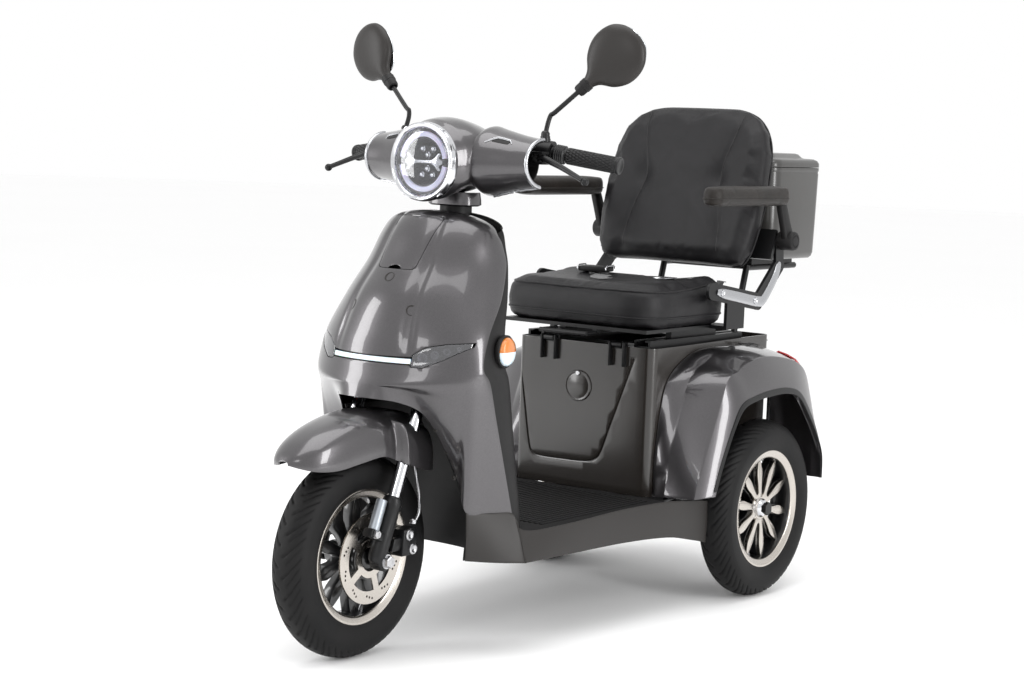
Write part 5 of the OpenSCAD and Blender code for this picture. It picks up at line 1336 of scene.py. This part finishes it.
# the middle is dished a little where one sits
for ring in cushion_rings[:5]:
    for p in ring:
        p.z -= 9 * math.exp(-((p.x / 120) ** 2 + ((p.y - 230) / 130) ** 2))
cushion_shape = tower(cushion_rings)
cushion = piece("seat_cushion_cover", cushion_shape, faux_leather, "seat",
                ["seat_cushion"], split=0)
puffed(cushion, 7)

# Rings of the backrest from its top down: share of its height, of its half width and of its depth
BACK = [(1, 0.34, 0.18), (0.995, 0.5, 0.4), (0.975, 0.64, 0.6), (0.93, 0.77, 0.78), (0.85, 0.885, 0.9),
        (0.72, 0.96, 0.96), (0.5, 1, 1), (0.28, 0.995, 1), (0.1, 0.95, 0.92), (0.02, 0.88, 0.72),
        (0, 0.76, 0.4)]


def back_point(share, wide, thick, a):
    """A point of the backrest in its own upright frame; the front is curved round the sitter."""
    c, s = math.cos(math.radians(a)), math.sin(math.radians(a))
    x = wide * 231 * power(c, 0.5)
    wings = -12 * step(abs(x), 130, 215) * (1 if s < 0 else 0.3)
    return Vector((x, thick * 34 * power(s, 0.6) + wings + 4, 6 + share * 404))


back_rings = [[back_point(*row, a) for a in range(0, 360, 6)] for row in BACK]
back_shape = tower(back_rings)
backrest = piece("backrest_cover", back_shape, faux_leather, "seat",
                 ["backrest_cushion"], at=BACK_TURN, split=0)
puffed(backrest, 8)
# The two seams draw in to a button at mid height; the stitched channel is about 5 mm deep there
tuft_z = 222


def seam_x(z):
    """How far from the middle the two seams run at height z in the backrest's own frame."""
    return 136 - 30 * math.exp(-((z - tuft_z) / 95) ** 2)


unturn = BACK_TURN.inverted()
for v in backrest.data.vertices:
    p = unturn @ (v.co * 1000)
    if p.y < 8:
        off = abs(abs(p.x) - seam_x(p.z))
        reach = step(p.z, 30, 90) * (1 - step(p.z, 345, 392))
        tuft = math.exp(-((p.z - tuft_z) / 34) ** 2)
        p.y += reach * (3.4 * math.exp(-(off / 5) ** 2) + 3.5 * math.exp(-(off / 26) ** 2))
        p.y += 9 * tuft * math.exp(-(off / 24) ** 2)
        v.co = (BACK_TURN @ p) / 1000
backrest_tree = BVHTree.FromPolygons([v.co * 1000 for v in backrest.data.vertices],
                                     [list(f.vertices) for f in backrest.data.polygons])
cushion_tree = BVHTree.FromPolygons([v.co * 1000 for v in cushion.data.vertices],
                                    [list(f.vertices) for f in cushion.data.polygons])


def laid(tree_of_cover, points, lift=0.6):
    """Points moved onto the nearest place of a cover, lifted a little off it."""
    out = []
    for p in points:
        place, normal, _, _ = tree_of_cover.find_nearest(Vector(p))
        out.append(place + normal * lift)
    return out


back_welt = laid(backrest_tree, [BACK_TURN @ back_point(*row, 158) for row in BACK[::-1]]
                 + [BACK_TURN @ back_point(*row, 22) for row in BACK])
back_welt = through(back_welt, 4)
cushion_welt = [laid(cushion_tree, [cushion_point(a, share, inset) for a in range(0, 360, 4)], 0.4)
                for share, inset in ((0.93, 12), (0.24, 3))]
welts = [sweep(back_welt, 2.6, 8)] + [sweep(line, 2.4, 8, closed=True) for line in cushion_welt]
piece("cover_piping", merged(*welts), faux_leather, "seat")
# Waxed polyester thread: twisted black strands, with a painted highlight as a pale band at each turn
thread_painted_glints = toned("waxed_thread", "#101010", "#2c2b2c", dict(kind="TexWave", Scale=300),
                     Roughness=0.6)
into_back = BACK_TURN.to_3x3() @ Vector((0, 1, 0))
seam_lines = []
for s in (-1, 1):
    line = [BACK_TURN @ Vector((s * seam_x(z), -60, z)) for z in range(40, 392, 8)]
    line = [backrest_tree.ray_cast(p, into_back)[0] or p for p in line]
    seam_lines.append(sweep(laid(backrest_tree, line, 0.1), 0.8, 6))
piece("back_seams", merged(*seam_lines), thread_painted_glints, "seat")


# ---- Armrests ----
# Each armrest is a steel arm in a black ABS shroud that swings on a round pivot, with a moulded vinyl pad
# on top. The L-shaped bracket under it carries a plated cover with two screw bosses.

arm_x = 268
arm_y, arm_z = 582, 838.8
pad_rings = [ring_of(w, d, min(w / 2 - 0.5, 24), z) for w, d, z in (
    (24, 300, 967.5), (38, 328, 967), (45, 338, 963), (49, 343, 955), (50, 344, 945), (49, 343, 936),
    (46, 340, 930), (40, 334, 927), (30, 320, 926.8))]
pad_shape = tower(pad_rings)
brown_vinyl = vinyl("brown_black_vinyl", "#15120f", "#221d1a", 1.4)
pivot = moved(lathe([(8.2, -21), (22, -21), (23, -18), (23, 17), (21, 20), (17, 21), (15, 19), (13, 19),
                     (11, 21.4), (0.01, 21.8)], 48), Matrix.Translation((arm_x, arm_y, arm_z)) @ ALONG_X)
shroud = []
for t, wide, deep in ((0, 19, 10.5), (0.15, 18.5, 10.5), (0.4, 16, 10), (0.7, 14.5, 10), (0.9, 14, 10),
                      (1, 13, 9.5)):
    mid = Vector((arm_x, arm_y, arm_z)).lerp(Vector((arm_x, 540, 930)), t)
    side = Vector((0, 90, 41)).normalized()
    shroud.append([mid + Vector((deep * power(math.cos(math.radians(a)), 0.6), 0, 0))
                   + side * (wide * power(math.sin(math.radians(a)), 0.6)) for a in range(0, 360, 15)])
shroud_shape = skin(shroud, closed=True)
PAD_AT = Matrix.Translation((arm_x, 380, 0))
pad_piping = sweep([PAD_AT @ p for p in ring_of(50.4, 344.4, 24, 941.5, 10)], 1.6, 8, closed=True)
for side, turn in (("left", lambda s: s), ("right", mirror)):
    body = "arm_" + side
    pad = piece("arm_pad_" + side, turn(moved(pad_shape, PAD_AT)), brown_vinyl, body,
                split=0)
    puffed(pad, 3, 0.004)
    piece("arm_piping_" + side, turn(pad_piping), brown_vinyl, body)
    piece("arm_shroud_" + side, turn(merged(pivot, shroud_shape)), black_plastic, body,
          ["armrest_" + side], split=40)
BRACKET = [(300, 725), (400, 709), (492, 695), (520, 702), (566, 750), (584, 786)]
bracket_trim = through([Vector((0, y, z)) for y, z in BRACKET], 5)
band = []
for i, p in enumerate(bracket_trim):
    ahead_of = bracket_trim[min(i + 1, len(bracket_trim) - 1)] - bracket_trim[max(i - 1, 0)]
    across = Vector((0, -ahead_of.z, ahead_of.y)).normalized()
    wide = 12.5 * math.sin(math.pi * min(max((i + 1.2) / 8, 0), 0.5)) * math.sin(
        math.pi * min(max((len(bracket_trim) + 0.2 - i) / 8, 0), 0.5))
    band.append([p + across * (wide * k) + Vector((246.8 + 2.6 * (1 - abs(k) ** 6), 0, 0))
                 for k in (-1, -0.9, -0.5, 0, 0.5, 0.9, 1)])
piece("bracket_covers", both_sides(skin(band)), satin_chrome, "seat", thick=1.6, bevel=0.5)
bosses = [moved(lathe([(8.5, 0), (8.5, 2), (7.5, 3), (6, 3), (5.4, 1.6), (3, 1.6), (0.01, 1.5)], 28),
                Matrix.Translation((249, y, z)) @ ALONG_X) for y, z in ((322, 721.5), (474, 697.5))]
piece("bracket_bosses", both_sides(merged(*bosses)), chrome, "seat", split=30)


# ---- Lap belt ----
# Woven nylon webbing 40 to 46 mm wide, sewn to the seat frame, with a pressed buckle: black plastic in a
# bright steel frame on one side and a steel tongue on the other.

belt_z = cushion_z + cushion_t
# Woven nylon: a diagonal rib of about 2 mm with a dry sheen
webbing = toned("black_nylon_webbing", "#111112", "#242425",
                dict(kind="TexWave", Scale=160, bands_direction="DIAGONAL"),
                relief=dict(Strength=0.5, Distance=0.0006), Roughness=0.7, Sheen_Weight=0.3)


def strap(path, width, lift):
    """A flat strap laid on the cushion along points of x and y."""
    rows = []
    pts = through([Vector((x, y, 0)) for x, y in path], 6)
    for i, p in enumerate(pts):
        along = (pts[min(i + 1, len(pts) - 1)] - pts[max(i - 1, 0)]).normalized()
        across = Vector((along.y, -along.x, 0)) * width / 2
        line = []
        for k in (-1, -0.5, 0, 0.5, 1):
            q = p + across * k
            hit = cushion_tree.ray_cast(Vector((q.x, q.y, 900)), Vector((0, 0, -1)))[0]
            line.append(Vector((q.x, q.y, (hit.z if hit else 740) + lift)))
        rows.append(line)
    return skin(rows)


straps = [strap([(-196, 418), (-150, 372), (-112, 330), (-84, 300)], 46, 2.2),
          strap([(190, 418), (158, 372), (128, 322), (118, 296)], 40, 2.2),
          strap([(-70, 300), (-58, 262), (-40, 236), (-12, 224)], 40, 2.0)]
piece("belt_webbing", merged(*straps), webbing, "seat", ["lap_belt"], thick=1.6, flip=True)
buckle_turn = Matrix.Translation((-100, 316, belt_z - 1)) @ Matrix.Rotation(math.radians(12), 4, "Z")
piece("buckle_shell", block((-40, -27, 0), (32, 27, 13)), black_plastic, "seat",
      at=buckle_turn, bevel=3.2)
frames = [sweep([(x, -29, 6), (x, -29, 10), (x, -20, 15), (x, 20, 15), (x, 29, 10), (x, 29, 6)], 1.8, 10)
          for x in (-40, 33)]
piece("buckle_frames", moved(merged(*frames), buckle_turn), chrome, "seat")
tongue = moved(block((-17, -26, 0), (17, 26, 2.4)), Matrix.Translation((116, 280, belt_z - 1)))
piece("belt_tongue", tongue, chrome, "seat", bevel=1)


# ---- Steel parts, motor and battery ----
# The welded frame, the seat plates, the axle beam and the rack are steel in black powder coat; the discs
# and bearings are bright steel, and the motor and controller cast aluminium.

# Cast aluminium: dull grey with a sandy skin about 1.2 mm across
cast_grey = toned("sand_cast_aluminium", "#6d6f72", "#8d8f92",
                  dict(kind="TexNoise", Scale=1 / 0.0012, Detail=3),
                  relief=dict(Strength=0.3, Distance=0.0003), Metallic=0.9, Roughness=0.48)
# Battery case: blue-grey polypropylene with a fine moulded texture
battery_case = toned("battery_polypropylene", "#262c35", "#323944",
                     dict(kind="TexNoise", Scale=1 / 0.001, Detail=2),
                     relief=dict(Strength=0.3, Distance=0.0002), Roughness=0.55, IOR=1.49)
# Yellow acetal horn button, worn paler
horn_yellow = toned("yellow_acetal", "#b09a20", "#d0bd48", dict(kind="TexNoise", Scale=120, Detail=3),
                    Roughness=0.35, IOR=1.48)
COATED = {black_casting: ["frame", "handlebar", "lever_perches", "seat_base_plate", "seat_slide",
                          "backrest_bracket", "rear_axle_beam", "rear_shock_bodies", "top_case_rack"],
          zinc: ["head_bearings", "ignition_key"], turned: ["front_disc"],
          cast_grey: ["drive_motor", "motor_controller"],
          battery_case: ["battery_pack"], black_plastic: ["charge_socket"], horn_yellow: ["horn_button"]}
for coat, nodes in COATED.items():
    for node in nodes:
        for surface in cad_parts[node].material_slots:
            surface.material = coat
